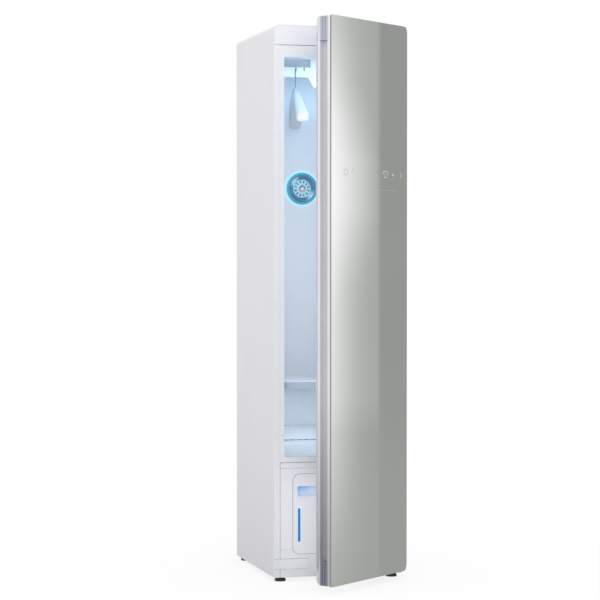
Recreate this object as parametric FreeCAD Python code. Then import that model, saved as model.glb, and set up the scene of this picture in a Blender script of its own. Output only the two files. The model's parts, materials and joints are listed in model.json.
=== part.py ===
"""Clothes care steam cabinet: a tall slim cabinet with a hinged glass door, a shaking
hanger rail, a circulation fan, a lift-off shelf, two water tanks and a small heat pump.

Frame: X to the right seen from the front, Y from the front to the back, Z up.
The origin lies on the floor at the centre of the four feet. The door is shown part open.
Units are millimetres.
"""

import FreeCAD
import Part
import math
import os

V = FreeCAD.Vector
AXIS_X = V(1, 0, 0)
AXIS_Y = V(0, 1, 0)
AXIS_Z = V(0, 0, 1)

# ---------------------------------------------------------------- overall size
body_width = 445.0
body_depth = 536.0
body_top = 1850.0
body_bottom = 14.4
seam = 0.6
seat_gap = 0.3
overcut = 1.0

half_width = body_width / 2
front_y = -body_depth / 2
rear_y = body_depth / 2

# ---------------------------------------------------------------- sheet-metal case
case_wall = 1.2
case_corner = 18.0
flange_width = 20.2
rear_flange_width = 14.0
rear_sheet = 1.2
rib_depth = 3.0
rib_margin = 26.0
rib_corner = 12.0
rib_slope = 6.0
rear_slot_length = 70.0
rear_slot_height = 5.0
rear_slot_rows = 8
rear_slot_pitch = 13.0
rear_slot_low = 120.0
gland_x = 150.0
gland_z = 60.0
gland_radius = 9.0
gland_flange = 14.0
gland_bore = 3.5
gland_length = 10.0
screw_head_radius = 4.0
screw_head_height = 2.2
screw_rows = 5
screw_margin = 80.0

# ---------------------------------------------------------------- feet and base
foot_inset = 28.0
foot_radius = 18.5
foot_rim = 8.0
foot_neck_radius = 9.0
stem_radius = 5.0
stem_clearance = 0.3
stem_rise = 18.0
pan_sheet = 2.0
pan_upstand = 18.0
foot_boss = 5.0

# ---------------------------------------------------------------- front openings
fascia_bottom = body_top - 66.0
fascia_depth = 22.0
fascia_wall = 2.5
cavity_half = half_width - 35.1
cavity_depth = body_depth - 66.0
lip_bottom = body_top - 106.0
ceiling_z = body_top - 90.0
sill_top = 415.0
sill_bottom = sill_top - 18.0
strip_bottom = sill_bottom - 19.0
skirt_top = 107.7
liner_wall = 2.5
frame_plate = 3.0
liner_corner = 20.0
mat_thickness = 14.0
roof_sheet = 3.0
roof_depth = 14.0
lamp_half = 70.0
lamp_front = 62.0
lamp_width = 24.0
lamp_ledge = 4.0

# ---------------------------------------------------------------- cavity floor and lint filter
floor_sheet = 3.0
riser_foot_y = cavity_depth - 170.0
riser_foot_z = sill_top + 15.0
riser_head_y = riser_foot_y + 12.0
riser_head_z = riser_foot_z + 21.0
step_back_z = riser_head_z + 32.0
vent_slots = 13
vent_slot_width = 20.0
vent_slot_pitch = 26.0
vent_slot_height = 4.0
vent_slot_drop = 5.0
filter_x = 80.0
filter_y = 92.0
filter_half_x = 48.0
filter_half_y = 32.0
filter_depth = 46.0
filter_flange = 5.0
filter_wall = 2.5
filter_windows = 5
filter_gap = 0.6
filter_foot_gap = 2.0
well_wall = 2.0
well_drain = 24.0
bridge_radius = 14.0
bridge_width = 14.0

# ---------------------------------------------------------------- circulation fan
fan_z = 1325.0
hub_radius = 17.0
disc_radius = 33.0
bezel_radius = 46.0
light_radius = 58.0
fan_throat = 50.0
fan_blades = 7
blade_thickness = 1.6
hub_slots = 12
hub_slot_width = 2.6
disc_slot_width = 4.0
shroud_depth = 46.0
shroud_wall = 2.0
shroud_arms = 3
rotor_radius = 44.0
rotor_thickness = 16.0
fan_motor_radius = 17.0
fan_motor_length = 18.0
shaft_radius = 3.0
shaft_fit = 0.05

# ---------------------------------------------------------------- shaking hanger rail
rail_y = 240.0
rail_half = cavity_half - 37.4
rail_top = ceiling_z - 27.0
rail_bottom = rail_top - 33.0
rail_thickness = 14.0
rail_corner = 9.0
rail_neck_half = 33.0
belly_bottom = rail_bottom - 35.0
belly_half_top = 42.0
belly_half_bottom = 20.0
notch_pitch = 29.0
notch_first = 56.0
notch_count = 2
notch_width = 6.5
notch_floor = rail_top - 11.0
rail_stroke = 20.0
slot_clearance = 7.0
slot_width = 20.0
rod_radius = 4.0
rod_fit = 0.05
rod_spacing = 56.0
rod_length = 216.0
rod_level = ceiling_z + 23.0
bracket_length = 10.0
bracket_foot = 4.0
carriage_half = 34.0
carriage_width = 76.0
carriage_height = 16.0
yoke_half = 7.5
yoke_wall = 5.5
yoke_height = 8.0
crank_pin_radius = 5.0
crank_pin_lift = 1.0
crank_pin_height = 5.0
crank_disc_radius = 29.0
crank_disc_height = 6.0
shaker_shaft = 4.0
motor_radius = 28.0
motor_height = 24.0
bridge_half_length = 66.0
bridge_half_width = 34.0
bridge_sheet = 2.5
bridge_foot = 12.0

# ---------------------------------------------------------------- garment hanger
wire_radius = 1.75
hook_radius = 13.0
hanger_turn = -11.0
hanger_notch = 1
hanger_neck_z = rail_bottom - 36.0
arm_reach = 182.0
arm_bow = 12.0
arm_sections = 12
neck_section = (24.0, 26.0)
tip_section = (44.0, 34.0)
arm_drop = 92.0
tip_round = 10.0
tip_shrink = 0.6
tip_steps = 4
tip_sweep = 80.0
collar_radius = 8.5
collar_height = 16.0

# ---------------------------------------------------------------- shelf
shelf_half = cavity_half - 3.4
shelf_front = 40.0
shelf_back = cavity_depth - 30.0
shelf_top = sill_top + 244.0
shelf_plate = 4.0
rim_top = shelf_top + 5.0
rim_bottom = shelf_top - 18.0
rim_wall = 6.0
shelf_corner = 22.0
grip_slot_half = 137.0
grip_slot_width = 13.0
grip_slot_inset = 16.0
steam_slots = 11
steam_slot_width = 12.0
steam_slot_half = 150.0
rest_width = 10.0
rest_height = 8.0

# ---------------------------------------------------------------- water tanks
tank_outer = half_width - 64.9
tank_inner = 4.0
tank_bottom = 91.0
tank_top = strip_bottom - 20.0
tank_corner = 24.0
tank_front_plate = 4.0
tank_depth = 226.0
tank_wall = 3.0
tank_gap = 1.0
shell_inset = 2.0
shell_corner = tank_corner - tank_gap
handle_outer = tank_outer - 15.6
handle_inner = tank_inner + 15.0
handle_top = tank_top - 40.6
handle_bottom = handle_top - 31.9
handle_depth = 26.0
handle_wall = 3.0
window_outer = tank_outer - 16.2
window_inner = window_outer - 10.4
window_bottom = tank_bottom + 41.0
window_top = window_bottom + 112.0
window_fit = 0.1
filler_radius = 16.0
bay_wall = 3.0
panel_setback = 0.4

# ---------------------------------------------------------------- corner and hinge plates
plate_sheet = 2.0
plate_reach = 105.0
plate_low = 43.0
plate_high = 76.0
plate_wrap = 24.0
plate_gap = 0.1
tab_width = 20.0
tab_offset = 42.0
tab_drop = 8.0

# ---------------------------------------------------------------- door
door_angle = 39.0
door_thickness = 66.0
glass_sheet = 4.0
door_half = half_width - 1.0
pin_x = door_half - 29.0
pin_back = 48.5
glass_bottom = 28.0
glass_top = body_top
glass_corner_hinge = 22.0
glass_corner_free = 8.0
frame_inset = 3.0
frame_bottom = glass_bottom + frame_inset
frame_top = glass_top - frame_inset
frame_wall = 3.0
trim_lip = 10.0
channel_width = 33.0
channel_depth = 22.0
channel_lining = 1.5
cap_length = 77.0
pan_bottom = frame_bottom + 46.0
pan_top = frame_top - 43.0
pan_wall = 2.5
pan_left = door_half - 3.5
pan_right = door_half - 10.5
pan_corner = 8.0
pan_rear_back = 6.0
field_rise = 8.0
field_taper = 8.0
field_margin = 24.0
cap_rear_back = 6.5
cap_groove_shares = (0.3, 0.62)
cap_corner_top = 16.0
cap_corner_bottom = 24.0
gasket_width = 18.0
gasket_rear_back = 1.5
notch_left = pin_x - 62.5
notch_height = 12.0
arm_sheet = 4.0
arm_tip_radius = 9.0
arm_root = 34.0
hinge_plate_half = 32.0
hinge_plate_height = 26.0
hinge_plate_sheet = 3.0
pin_radius = 5.0
pin_fit = 0.05
bush_radius = 9.0
bush_length = 18.0
bush_fit = 0.02
display_low = 1295.0
display_high = 1365.0
display_half = door_half - 25.5
display_depth = 9.0

channel_front_back = door_thickness - glass_sheet - trim_lip
channel_rear_back = channel_front_back - channel_width
pin_y = front_y - pin_back

# ---------------------------------------------------------------- machinery
deck_z = 232.0
deck_sheet = 3.0
deck_front = tank_depth + 18.0
deck_leg = 14.0
deck_leg_inset = 32.0
compressor_x = -100.0
compressor_y = body_depth - 136.0
compressor_radius = 58.0
compressor_height = 157.0
compressor_foot_half = 70.0
compressor_pad_height = 6.0
fin_count = 12
fin_sheet = 1.2
tube_rows = 3
tube_height = 5.0
exchanger_left = 26.5 - half_width
exchanger_clearance = 26.0
exchanger_height = 130.0
exchanger_depth = 90.0
exchanger_gap = 20.0
blower_x = -20.0
blower_y = compressor_y
blower_z = deck_z + 76.0
blower_radius = 70.0
blower_half = 30.0
exchanger_width = blower_x - blower_half - exchanger_clearance - exchanger_left
blower_inlet = 34.0
blower_shaft = 4.0
blower_motor_radius = 24.0
wheel_radius = 52.0
wheel_eye = 42.0
wheel_blades = 18
duct_wall = 3.0
boiler_left = blower_x + blower_half + 20.0
boiler_right = half_width - 32.5
boiler_half = 36.0
boiler_height = 70.0
boiler_rim = 4.0
boiler_lid = 6.0
boiler_inset = 20.0
boiler_back = front_y + deck_front + boiler_inset + 2 * boiler_half + boiler_rim
box_left = blower_x + blower_half + 30.0
box_right = half_width - 22.5
box_gap = 30.0
box_inset = 51.0
box_height = 60.0
box_ribs = 6
pump_x = 85.0
pump_foot_half = 35.0
pump_radius = 22.0
pump_height = 70.0


# ================================================================ helpers
def box(x0, x1, y0, y1, z0, z1):
    """A plain block between two corners."""
    return Part.makeBox(x1 - x0, y1 - y0, z1 - z0, V(x0, y0, z0))


def rounded_outline(low, high, radius, place):
    """A closed rounded rectangle between two 2D corners, put into space by place(u, v)."""
    (u0, v0), (u1, v1) = low, high
    k = radius * (1 - math.sqrt(0.5))
    return Part.Wire(
        [
            Part.makeLine(place(u0 + radius, v0), place(u1 - radius, v0)),
            Part.Arc(place(u1 - radius, v0), place(u1 - k, v0 + k), place(u1, v0 + radius)).toShape(),
            Part.makeLine(place(u1, v0 + radius), place(u1, v1 - radius)),
            Part.Arc(place(u1, v1 - radius), place(u1 - k, v1 - k), place(u1 - radius, v1)).toShape(),
            Part.makeLine(place(u1 - radius, v1), place(u0 + radius, v1)),
            Part.Arc(place(u0 + radius, v1), place(u0 + k, v1 - k), place(u0, v1 - radius)).toShape(),
            Part.makeLine(place(u0, v1 - radius), place(u0, v0 + radius)),
            Part.Arc(place(u0, v0 + radius), place(u0 + k, v0 + k), place(u0 + radius, v0)).toShape(),
        ]
    )


def rounded_block_y(x0, x1, y0, y1, z0, z1, radius):
    """A block whose front view is a rounded rectangle."""
    wire = rounded_outline((x0, z0), (x1, z1), radius, lambda u, v: V(u, y0, v))
    return Part.Face(wire).extrude(V(0, y1 - y0, 0))


def rounded_block_z(x0, x1, y0, y1, z0, z1, radius):
    """A block whose plan view is a rounded rectangle."""
    wire = rounded_outline((x0, y0), (x1, y1), radius, lambda u, v: V(u, v, z0))
    return Part.Face(wire).extrude(V(0, 0, z1 - z0))


def arch(half, low, high, radius, y0, y1):
    """A block with two rounded upper corners in the front view."""
    k = radius * (1 - math.sqrt(0.5))
    spring = high - radius
    flat = half - radius
    edges = [
        Part.makeLine(V(-half, y0, low), V(-half, y0, spring)),
        Part.Arc(V(-half, y0, spring), V(k - half, y0, high - k), V(-flat, y0, high)).toShape(),
        Part.makeLine(V(-flat, y0, high), V(flat, y0, high)),
        Part.Arc(V(flat, y0, high), V(half - k, y0, high - k), V(half, y0, spring)).toShape(),
        Part.makeLine(V(half, y0, spring), V(half, y0, low)),
        Part.makeLine(V(half, y0, low), V(-half, y0, low)),
    ]
    return Part.Face(Part.Wire(edges)).extrude(V(0, y1 - y0, 0))


def tub(half, y0, y1, z0, z1, radius):
    """A block whose two rear corners are rounded in plan."""
    k = radius * (1 - math.sqrt(0.5))
    edges = [
        Part.makeLine(V(-half, y0, z0), V(half, y0, z0)),
        Part.makeLine(V(half, y0, z0), V(half, y1 - radius, z0)),
        Part.Arc(V(half, y1 - radius, z0), V(half - k, y1 - k, z0), V(half - radius, y1, z0)).toShape(),
        Part.makeLine(V(half - radius, y1, z0), V(-half + radius, y1, z0)),
        Part.Arc(V(-half + radius, y1, z0), V(-half + k, y1 - k, z0), V(-half, y1 - radius, z0)).toShape(),
        Part.makeLine(V(-half, y1 - radius, z0), V(-half, y0, z0)),
    ]
    return Part.Face(Part.Wire(edges)).extrude(V(0, 0, z1 - z0))


def plan_prism(points, z0, z1):
    """A polygon given in plan, raised from z0 to z1."""
    loop = [V(x, y, z0) for x, y in points]
    return Part.Face(Part.makePolygon(loop + loop[:1])).extrude(V(0, 0, z1 - z0))


def side_prism(points, x0, x1):
    """A polygon given in the side view (y, z), drawn out from x0 to x1."""
    loop = [V(x0, y, z) for y, z in points]
    return Part.Face(Part.makePolygon(loop + loop[:1])).extrude(V(x1 - x0, 0, 0))


def front_prism(points, y0, y1):
    """A polygon given in the front view (x, z), drawn out from y0 to y1."""
    loop = [V(x, y0, z) for x, z in points]
    return Part.Face(Part.makePolygon(loop + loop[:1])).extrude(V(0, y1 - y0, 0))


def rod_x(radius, x0, x1, y, z):
    """A round bar along X."""
    return Part.makeCylinder(radius, x1 - x0, V(x0, y, z), AXIS_X)


def rod_y(radius, x, y0, y1, z):
    """A round bar along Y."""
    return Part.makeCylinder(radius, y1 - y0, V(x, y0, z), AXIS_Y)


def rod_z(radius, x, y, z0, z1):
    """A round bar along Z."""
    return Part.makeCylinder(radius, z1 - z0, V(x, y, z0), AXIS_Z)


def turned_y(profile, x, y, z):
    """A profile of (radius, depth) points turned about the axis along Y through (x, y, z)."""
    loop = [V(x + r, y + t, z) for r, t in profile]
    face = Part.Face(Part.makePolygon(loop + loop[:1]))
    return face.revolve(V(x, y, z), AXIS_Y, 360)


def turned_z(profile, x, y):
    """A profile of (radius, height) points turned about the upright axis through (x, y)."""
    loop = [V(x + r, y, h) for r, h in profile]
    face = Part.Face(Part.makePolygon(loop + loop[:1]))
    return face.revolve(V(x, y, 0), AXIS_Z, 360)


def rounded_path(points, radius):
    """A wire through the points with every inner corner turned into a tangent arc."""
    edges = []
    start = points[0]
    for before, corner, after in zip(points, points[1:], points[2:]):
        back = (before - corner).normalize()
        ahead = (after - corner).normalize()
        half_angle = back.getAngle(ahead) / 2
        reach = radius / math.tan(half_angle)
        arc_start = corner + back * reach
        arc_end = corner + ahead * reach
        middle = (back + ahead).normalize()
        centre = corner + middle * (radius / math.sin(half_angle))
        crest = centre - middle * radius
        edges.append(Part.makeLine(start, arc_start))
        edges.append(Part.Arc(arc_start, crest, arc_end).toShape())
        start = arc_end
    edges.append(Part.makeLine(start, points[-1]))
    return Part.Wire(edges)


def tube_along(path, radius):
    """A round bar along a path of straight runs and arcs."""
    pieces = []
    for edge in path.OrderedEdges:
        start = edge.valueAt(edge.FirstParameter)
        direction = edge.tangentAt(edge.FirstParameter)
        disc = Part.Face(Part.Wire([Part.makeCircle(radius, start, direction)]))
        if edge.Curve.TypeId == "Part::GeomLine":
            pieces.append(disc.extrude(direction * edge.Length))
        else:
            turn = math.degrees(edge.Length / edge.Curve.Radius)
            pieces.append(disc.revolve(edge.Curve.Center, edge.Curve.Axis, turn))
    return fused(pieces)


def mirrored_x(shape):
    """The same shape on the other side of the middle plane."""
    return shape.mirror(V(0, 0, 0), AXIS_X)


def fused(shapes):
    """All shapes joined into one, with the leftover seams taken out."""
    whole = shapes[0]
    for shape in shapes[1:]:
        whole = whole.fuse(shape)
    return whole.removeSplitter()


# ================================================================ cabinet shell
def outer_case():
    """Wrapped steel case: two sides and a top from one sheet, with return flanges."""
    rear = rear_y - rear_sheet
    wrap = arch(half_width, body_bottom, body_top, case_corner, front_y, rear)
    hollow = arch(
        half_width - case_wall,
        body_bottom - overcut,
        body_top - case_wall,
        case_corner - case_wall,
        front_y - overcut,
        rear + overcut,
    )
    wrap = wrap.cut(hollow)
    rear_ring = arch(half_width, body_bottom, body_top, case_corner, rear - case_wall, rear)
    rear_hole = arch(
        half_width - rear_flange_width,
        body_bottom - overcut,
        body_top - rear_flange_width,
        case_corner - case_wall,
        rear - case_wall - overcut,
        rear + overcut,
    )
    rear_ring = rear_ring.cut(rear_hole)
    flange_top = fascia_bottom - seam
    inner_x = -half_width + flange_width
    flange = box(-half_width, inner_x, front_y, front_y + case_wall, body_bottom, flange_top)
    lip = box(
        inner_x - case_wall,
        inner_x,
        front_y,
        front_y + frame_plate * 2,
        body_bottom + pan_upstand + seat_gap,
        flange_top,
    )
    return fused([wrap, rear_ring, flange, lip, mirrored_x(flange), mirrored_x(lip)])


def pressed_pad(x0, x1, z0, z1, y, depth, slope):
    """A raised field of a pressed sheet: a shallow tapered block standing out along +Y."""
    foot = rounded_outline((x0, z0), (x1, z1), rib_corner, lambda u, v: V(u, y, v))
    head = rounded_outline(
        (x0 + slope, z0 + slope),
        (x1 - slope, z1 - slope),
        rib_corner - slope / 2,
        lambda u, v: V(u, y + depth, v),
    )
    return Part.makeLoft([foot, head], True, True)


def rear_panel():
    """Pressed steel back with two stiffening fields and a bank of cooling slots."""
    half = half_width - 1.0
    low = body_bottom + 2
    inner_y = rear_y - rear_sheet
    sheet = arch(half, low, body_top - 4, case_corner - 3, inner_y, rear_y)
    field_low = rear_slot_low + rear_slot_rows * rear_slot_pitch + rib_margin
    field_high = body_top - 60
    for side in (-1, 1):
        x0 = min(side * rib_margin, side * (half - rib_margin))
        x1 = max(side * rib_margin, side * (half - rib_margin))
        inward = pressed_pad(x0, x1, field_low, field_high, inner_y, -rib_depth, rib_slope)
        dent = pressed_pad(
            x0 + rear_sheet,
            x1 - rear_sheet,
            field_low + rear_sheet,
            field_high - rear_sheet,
            rear_y,
            -rib_depth,
            rib_slope,
        )
        sheet = sheet.fuse(inward).cut(dent)
    slots = []
    for side in (-1, 1):
        for row in range(rear_slot_rows):
            z = rear_slot_low + row * rear_slot_pitch
            x = side * half / 2
            slots.append(
                rounded_block_y(
                    x - rear_slot_length / 2,
                    x + rear_slot_length / 2,
                    inner_y - 1,
                    rear_y + 1,
                    z,
                    z + rear_slot_height,
                    rear_slot_height / 2 - 0.01,
                )
            )
    return sheet.cut(Part.makeCompound(slots)).cut(gland_hole())


def gland_hole():
    """The round hole of the cord gland in the back sheet."""
    return rod_y(gland_radius, gland_x, rear_y - rear_sheet - 1, rear_y + 1, gland_z)


def cord_gland():
    """Rubber gland where the supply cord leaves the back sheet."""
    tail = -rear_sheet - 4
    neck = gland_radius - 0.05
    profile = [
        (gland_bore, tail),
        (neck, tail),
        (neck, 0.05),
        (gland_flange, 0.05),
        (gland_flange - 2, 4),
        (gland_bore * 2, gland_length),
        (gland_bore, gland_length),
    ]
    return turned_y(profile, gland_x, rear_y, gland_z)


def foot_places():
    """The four foot centres."""
    x = half_width - foot_inset
    y = rear_y - foot_inset
    return [(-x, -y), (x, -y), (-x, y), (x, y)]


def base_pan():
    """Pressed steel tray that closes the bottom and carries the feet and the machinery."""
    half = half_width - case_wall - seat_gap / 2
    y0 = front_y + case_wall + seat_gap
    y1 = rear_y - rear_sheet - case_wall - seat_gap
    tray = box(-half, half, y0, y1, body_bottom, body_bottom + pan_upstand)
    hollow = box(
        -half + pan_sheet,
        half - pan_sheet,
        y0 + pan_sheet,
        y1 - pan_sheet,
        body_bottom + pan_sheet,
        body_bottom + pan_upstand + overcut,
    )
    tray = tray.cut(hollow)
    for x, y in foot_places():
        boss = rod_z(stem_radius + foot_boss, x, y, body_bottom, body_bottom + pan_sheet + foot_boss)
        bore = rod_z(stem_radius + stem_clearance, x, y, body_bottom - overcut, body_bottom + pan_upstand)
        tray = tray.fuse(boss).cut(bore)
    return tray.removeSplitter()


def levelling_feet():
    """Four screw feet: a broad pad, a hexagon neck and a threaded stem."""
    feet = []
    for x, y in foot_places():
        profile = [
            (0, 0),
            (foot_radius, 0),
            (foot_radius, foot_rim),
            (foot_neck_radius + 1, foot_rim + 2.5),
            (foot_neck_radius, body_bottom - 0.2),
            (stem_radius, body_bottom - 0.2),
            (stem_radius, body_bottom + stem_rise),
            (0, body_bottom + stem_rise),
        ]
        feet.append(turned_z(profile, x, y))
    return Part.makeCompound(feet)


def top_fascia():
    """Moulded strip that closes the front above the cavity, hollow from behind."""
    half = half_width - case_wall - seat_gap
    low = fascia_bottom + seam / 2
    high = body_top - case_wall - seat_gap
    radius = case_corner - case_wall - seat_gap
    skin = arch(half, low, high, radius, front_y, front_y + fascia_depth)
    hollow = arch(
        half - fascia_wall,
        low + fascia_wall,
        high - fascia_wall,
        radius - fascia_wall,
        front_y + fascia_wall,
        front_y + fascia_depth + 1,
    )
    return skin.cut(hollow)


def inner_liner():
    """Vacuum-formed white liner: the front frame and the deep tub of the steam cavity."""
    frame_half = half_width - flange_width - seat_gap
    plate_y = front_y + panel_setback
    plate = box(-frame_half, frame_half, plate_y, plate_y + frame_plate, sill_bottom, fascia_bottom - seam)
    shell = tub(
        cavity_half + liner_wall,
        plate_y,
        front_y + cavity_depth + liner_wall,
        liner_floor_z() - liner_wall,
        fascia_bottom - seam,
        liner_corner + liner_wall,
    )
    hollow = tub(
        cavity_half,
        plate_y + frame_plate,
        front_y + cavity_depth,
        liner_floor_z(),
        fascia_bottom + 1,
        liner_corner,
    )
    mouth = rounded_block_y(
        -cavity_half,
        cavity_half,
        plate_y - overcut,
        plate_y + frame_plate + overcut,
        sill_top,
        lip_bottom,
        liner_wall * 2,
    )
    back = front_y + cavity_depth
    throat = rod_y(fan_throat, 0, back - overcut, back + liner_wall + overcut, fan_z)
    duct = duct_space(liner_floor_z() - 2 * liner_wall, liner_floor_z() + 1)
    well = well_block(well_wall + seat_gap, -filter_depth, 0)
    tub_part = plate.fuse(shell).cut(hollow).cut(mouth).cut(throat).cut(duct).cut(well)
    ledge = shelf_ledge()
    return fused([tub_part, ledge, mirrored_x(ledge)])


def shelf_ledge():
    """Moulded ledge on the right side wall that carries the shelf."""
    top = rim_bottom - seat_gap
    low = top - rest_height
    y0 = front_y + shelf_front + shelf_corner
    y1 = front_y + shelf_back - shelf_corner
    nose = [(y0, top), (y1, top), (y1, low), (y0 + rest_height, low)]
    return side_prism(nose, cavity_half - rest_width, cavity_half + 1)


def liner_floor_z():
    """Height of the liner's own bottom, just under the floor moulding."""
    return sill_top - floor_sheet - seat_gap


def side_insulation():
    """Felt mats on the outside of the liner's two side walls."""
    gap = seat_gap
    x0 = cavity_half + liner_wall + gap
    x1 = x0 + mat_thickness
    y0 = front_y + frame_plate * 2 + 2
    y1 = front_y + cavity_depth - 20
    slab = box(x0, x1, y0, y1, sill_bottom + 10, fascia_bottom - 6)
    return Part.makeCompound([slab, mirrored_x(slab)])


def ceiling_housing():
    """Roof moulding of the cavity with the slot for the rail and the lamp opening."""
    half = cavity_half - seat_gap
    y0 = front_y + panel_setback + frame_plate + seat_gap
    y1 = front_y + cavity_depth - seat_gap
    wall = liner_wall
    z0 = ceiling_z
    z1 = ceiling_z + roof_depth
    outer = tub(half, y0, y1, z0, z1, liner_corner)
    inner = tub(half - wall, y0 + wall, y1 - wall, z0 + roof_sheet, z1 + overcut, liner_corner - wall)
    y = front_y + rail_y
    slot_half = rail_neck_half + rail_stroke + slot_clearance
    slot = rounded_block_z(
        -slot_half, slot_half, y - slot_width / 2, y + slot_width / 2, z0 - overcut, z1, slot_width * 0.3
    )
    lamp = lamp_block(seat_gap, z0 - overcut, z1)
    return outer.cut(inner).cut(slot).cut(lamp)


def lamp_block(grow, z0, z1):
    """The plan shape of the ceiling lamp, grown by a clearance."""
    return rounded_block_z(
        -lamp_half - grow,
        lamp_half + grow,
        front_y + lamp_front - grow,
        front_y + lamp_front + lamp_width + grow,
        z0,
        z1,
        lamp_width / 4,
    )


def ceiling_lamp():
    """Diffuser lens of the cavity lamp, let into the roof."""
    shoulder = ceiling_z + roof_sheet + 0.2
    lens = lamp_block(0, ceiling_z - 1.5, shoulder + overcut)
    ledge = lamp_block(lamp_ledge, shoulder, shoulder + 2.8)
    return lens.fuse(ledge).removeSplitter()


def floor_path():
    """Side view of the cavity floor from the sill to the back wall."""
    return [
        (front_y + panel_setback + frame_plate + seat_gap, sill_top),
        (front_y + riser_foot_y, riser_foot_z),
        (front_y + riser_head_y, riser_head_z),
        (front_y + cavity_depth - seat_gap, step_back_z),
    ]


def floor_slope():
    """Rise angle of the sloping floor, in degrees."""
    (y0, z0), (y1, z1) = floor_path()[:2]
    return math.degrees(math.atan2(z1 - z0, y1 - y0))


def on_floor(shape):
    """Carry a shape built about the origin to the filter's place on the sloping floor."""
    slope = floor_slope()
    placed = shape.copy()
    placed.rotate(V(0, 0, 0), AXIS_X, slope)
    z = sill_top + (filter_y - frame_plate) * math.tan(math.radians(slope))
    placed.translate(V(filter_x, front_y + filter_y, z))
    return placed


def cavity_floor():
    """Floor moulding: a drained slope, a slotted riser and a step over the air duct."""
    path = floor_path()
    under = [(y, z - floor_sheet) for y, z in reversed(path)]
    sheet = side_prism(path + under, -cavity_half + seat_gap, cavity_half - seat_gap)
    corners = tub(
        cavity_half - seat_gap,
        front_y,
        front_y + cavity_depth - seat_gap,
        sill_top - 20,
        step_back_z + 20,
        liner_corner,
    )
    sheet = sheet.common(corners)
    slots = []
    first = -(vent_slots - 1) / 2 * vent_slot_pitch
    high = riser_head_z - vent_slot_drop
    for index in range(vent_slots):
        x = first + index * vent_slot_pitch
        slots.append(
            rounded_block_y(
                x - vent_slot_width / 2,
                x + vent_slot_width / 2,
                front_y + riser_foot_y - 20,
                front_y + riser_head_y + 20,
                high - vent_slot_height,
                high,
                vent_slot_height * 0.45,
            )
        )
    well_low = -filter_depth - filter_foot_gap - well_wall
    drain = box(-well_drain / 2, well_drain / 2, -well_drain / 2, well_drain / 2, well_low - 1, 0)
    floor = sheet.cut(Part.makeCompound(slots)).fuse(well_block(well_wall, well_low, -1))
    floor = floor.cut(well_block(0, well_low + well_wall, 20))
    return floor.cut(on_floor(drain)).removeSplitter()


def well_block(grow, low, high):
    """The space round the lint filter's basket, grown by a wall or a clearance."""
    x = filter_half_x + filter_gap + grow
    y = filter_half_y + filter_gap + grow
    return on_floor(box(-x, x, -y, y, low, high))


# ================================================================ ventilation fan
def fan_bezel():
    """Dished metal ring round the fan grille, turned in one piece."""
    y = front_y + cavity_depth
    profile = [
        (disc_radius + 0.3, -4),
        (disc_radius + 1.5, -9),
        (disc_radius + 6, -13),
        (bezel_radius - 3, -14),
        (bezel_radius - 0.3, -11),
        (bezel_radius - 0.3, -0.3),
        (disc_radius + 0.3, -0.3),
    ]
    return turned_y(profile, 0, y, fan_z)


def fan_light_ring():
    """Translucent light guide ring on the back wall."""
    y = front_y + cavity_depth
    profile = [
        (bezel_radius, -0.3),
        (bezel_radius, -9),
        (bezel_radius + 3, -11),
        (light_radius - 4, -9.5),
        (light_radius, -5),
        (light_radius, -0.3),
    ]
    return turned_y(profile, 0, y, fan_z)


def fan_grille():
    """Dished disc with radial slots round a raised hub."""
    y = front_y + cavity_depth
    profile = [
        (0, -9),
        (hub_radius - 2, -9),
        (hub_radius, -6.5),
        (disc_radius, -4.5),
        (disc_radius, -1.5),
        (0, -1.5),
    ]
    disc = turned_y(profile, 0, y, fan_z)
    cuts = []
    for index in range(hub_slots):
        half = hub_slot_width / 2
        slot = rounded_block_y(-half, half, y - 20, y + 5, fan_z + 6.5, fan_z + 13.5, half * 0.96)
        slot.rotate(V(0, y, fan_z), AXIS_Y, index * 360 / hub_slots)
        cuts.append(slot)
    for index in range(hub_slots):
        half = disc_slot_width / 2
        low = fan_z + hub_radius + 3
        slot = rounded_block_y(-half, half, y - 20, y + 5, low, fan_z + disc_radius - 4, half * 0.95)
        slot.rotate(V(0, y, fan_z), AXIS_Y, (index + 0.5) * 360 / hub_slots)
        cuts.append(slot)
    return disc.cut(Part.makeCompound(cuts))


def fan_shroud():
    """Round duct behind the back wall with three arms for the motor."""
    y0 = front_y + cavity_depth + liner_wall + seat_gap
    y1 = y0 + shroud_depth
    throat = rod_y(fan_throat - shroud_wall, 0, y0 - overcut, y1 + overcut, fan_z)
    duct = rod_y(fan_throat, 0, y0, y1, fan_z)
    flange = rod_y(light_radius, 0, y0, y0 + shroud_wall, fan_z)
    ring = duct.fuse(flange).cut(throat)
    motor_y = y1 - fan_motor_length
    socket_radius = fan_motor_radius + 0.2
    cup = rod_y(socket_radius + shroud_wall, 0, motor_y, y1, fan_z)
    cup = cup.cut(rod_y(socket_radius, 0, motor_y - overcut, y1 + overcut, fan_z))
    arms = []
    for index in range(shroud_arms):
        arm = box(-3, 3, y1 - 6, y1, fan_z + socket_radius + 0.8, fan_z + fan_throat - 1)
        arm.rotate(V(0, y1, fan_z), AXIS_Y, index * 360 / shroud_arms)
        arms.append(arm)
    return fused([ring, cup] + arms)


def fan_motor():
    """Small motor in the middle of the shroud, with its shaft."""
    y1 = front_y + cavity_depth + liner_wall + seat_gap + shroud_depth
    can = rod_y(fan_motor_radius, 0, y1 - fan_motor_length, y1, fan_z)
    shaft = rod_y(shaft_radius, 0, y1 - fan_motor_length - rotor_thickness, y1, fan_z)
    return can.fuse(shaft)


def blade_section(y0, y1, reach, z):
    """Slanted cross-section of a fan blade at one height above the axis."""
    corners = [
        V(-reach, y0, z),
        V(reach, y1, z),
        V(reach, y1 - blade_thickness, z),
        V(-reach + blade_thickness, y0, z),
    ]
    return Part.makePolygon(corners + corners[:1])


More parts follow.
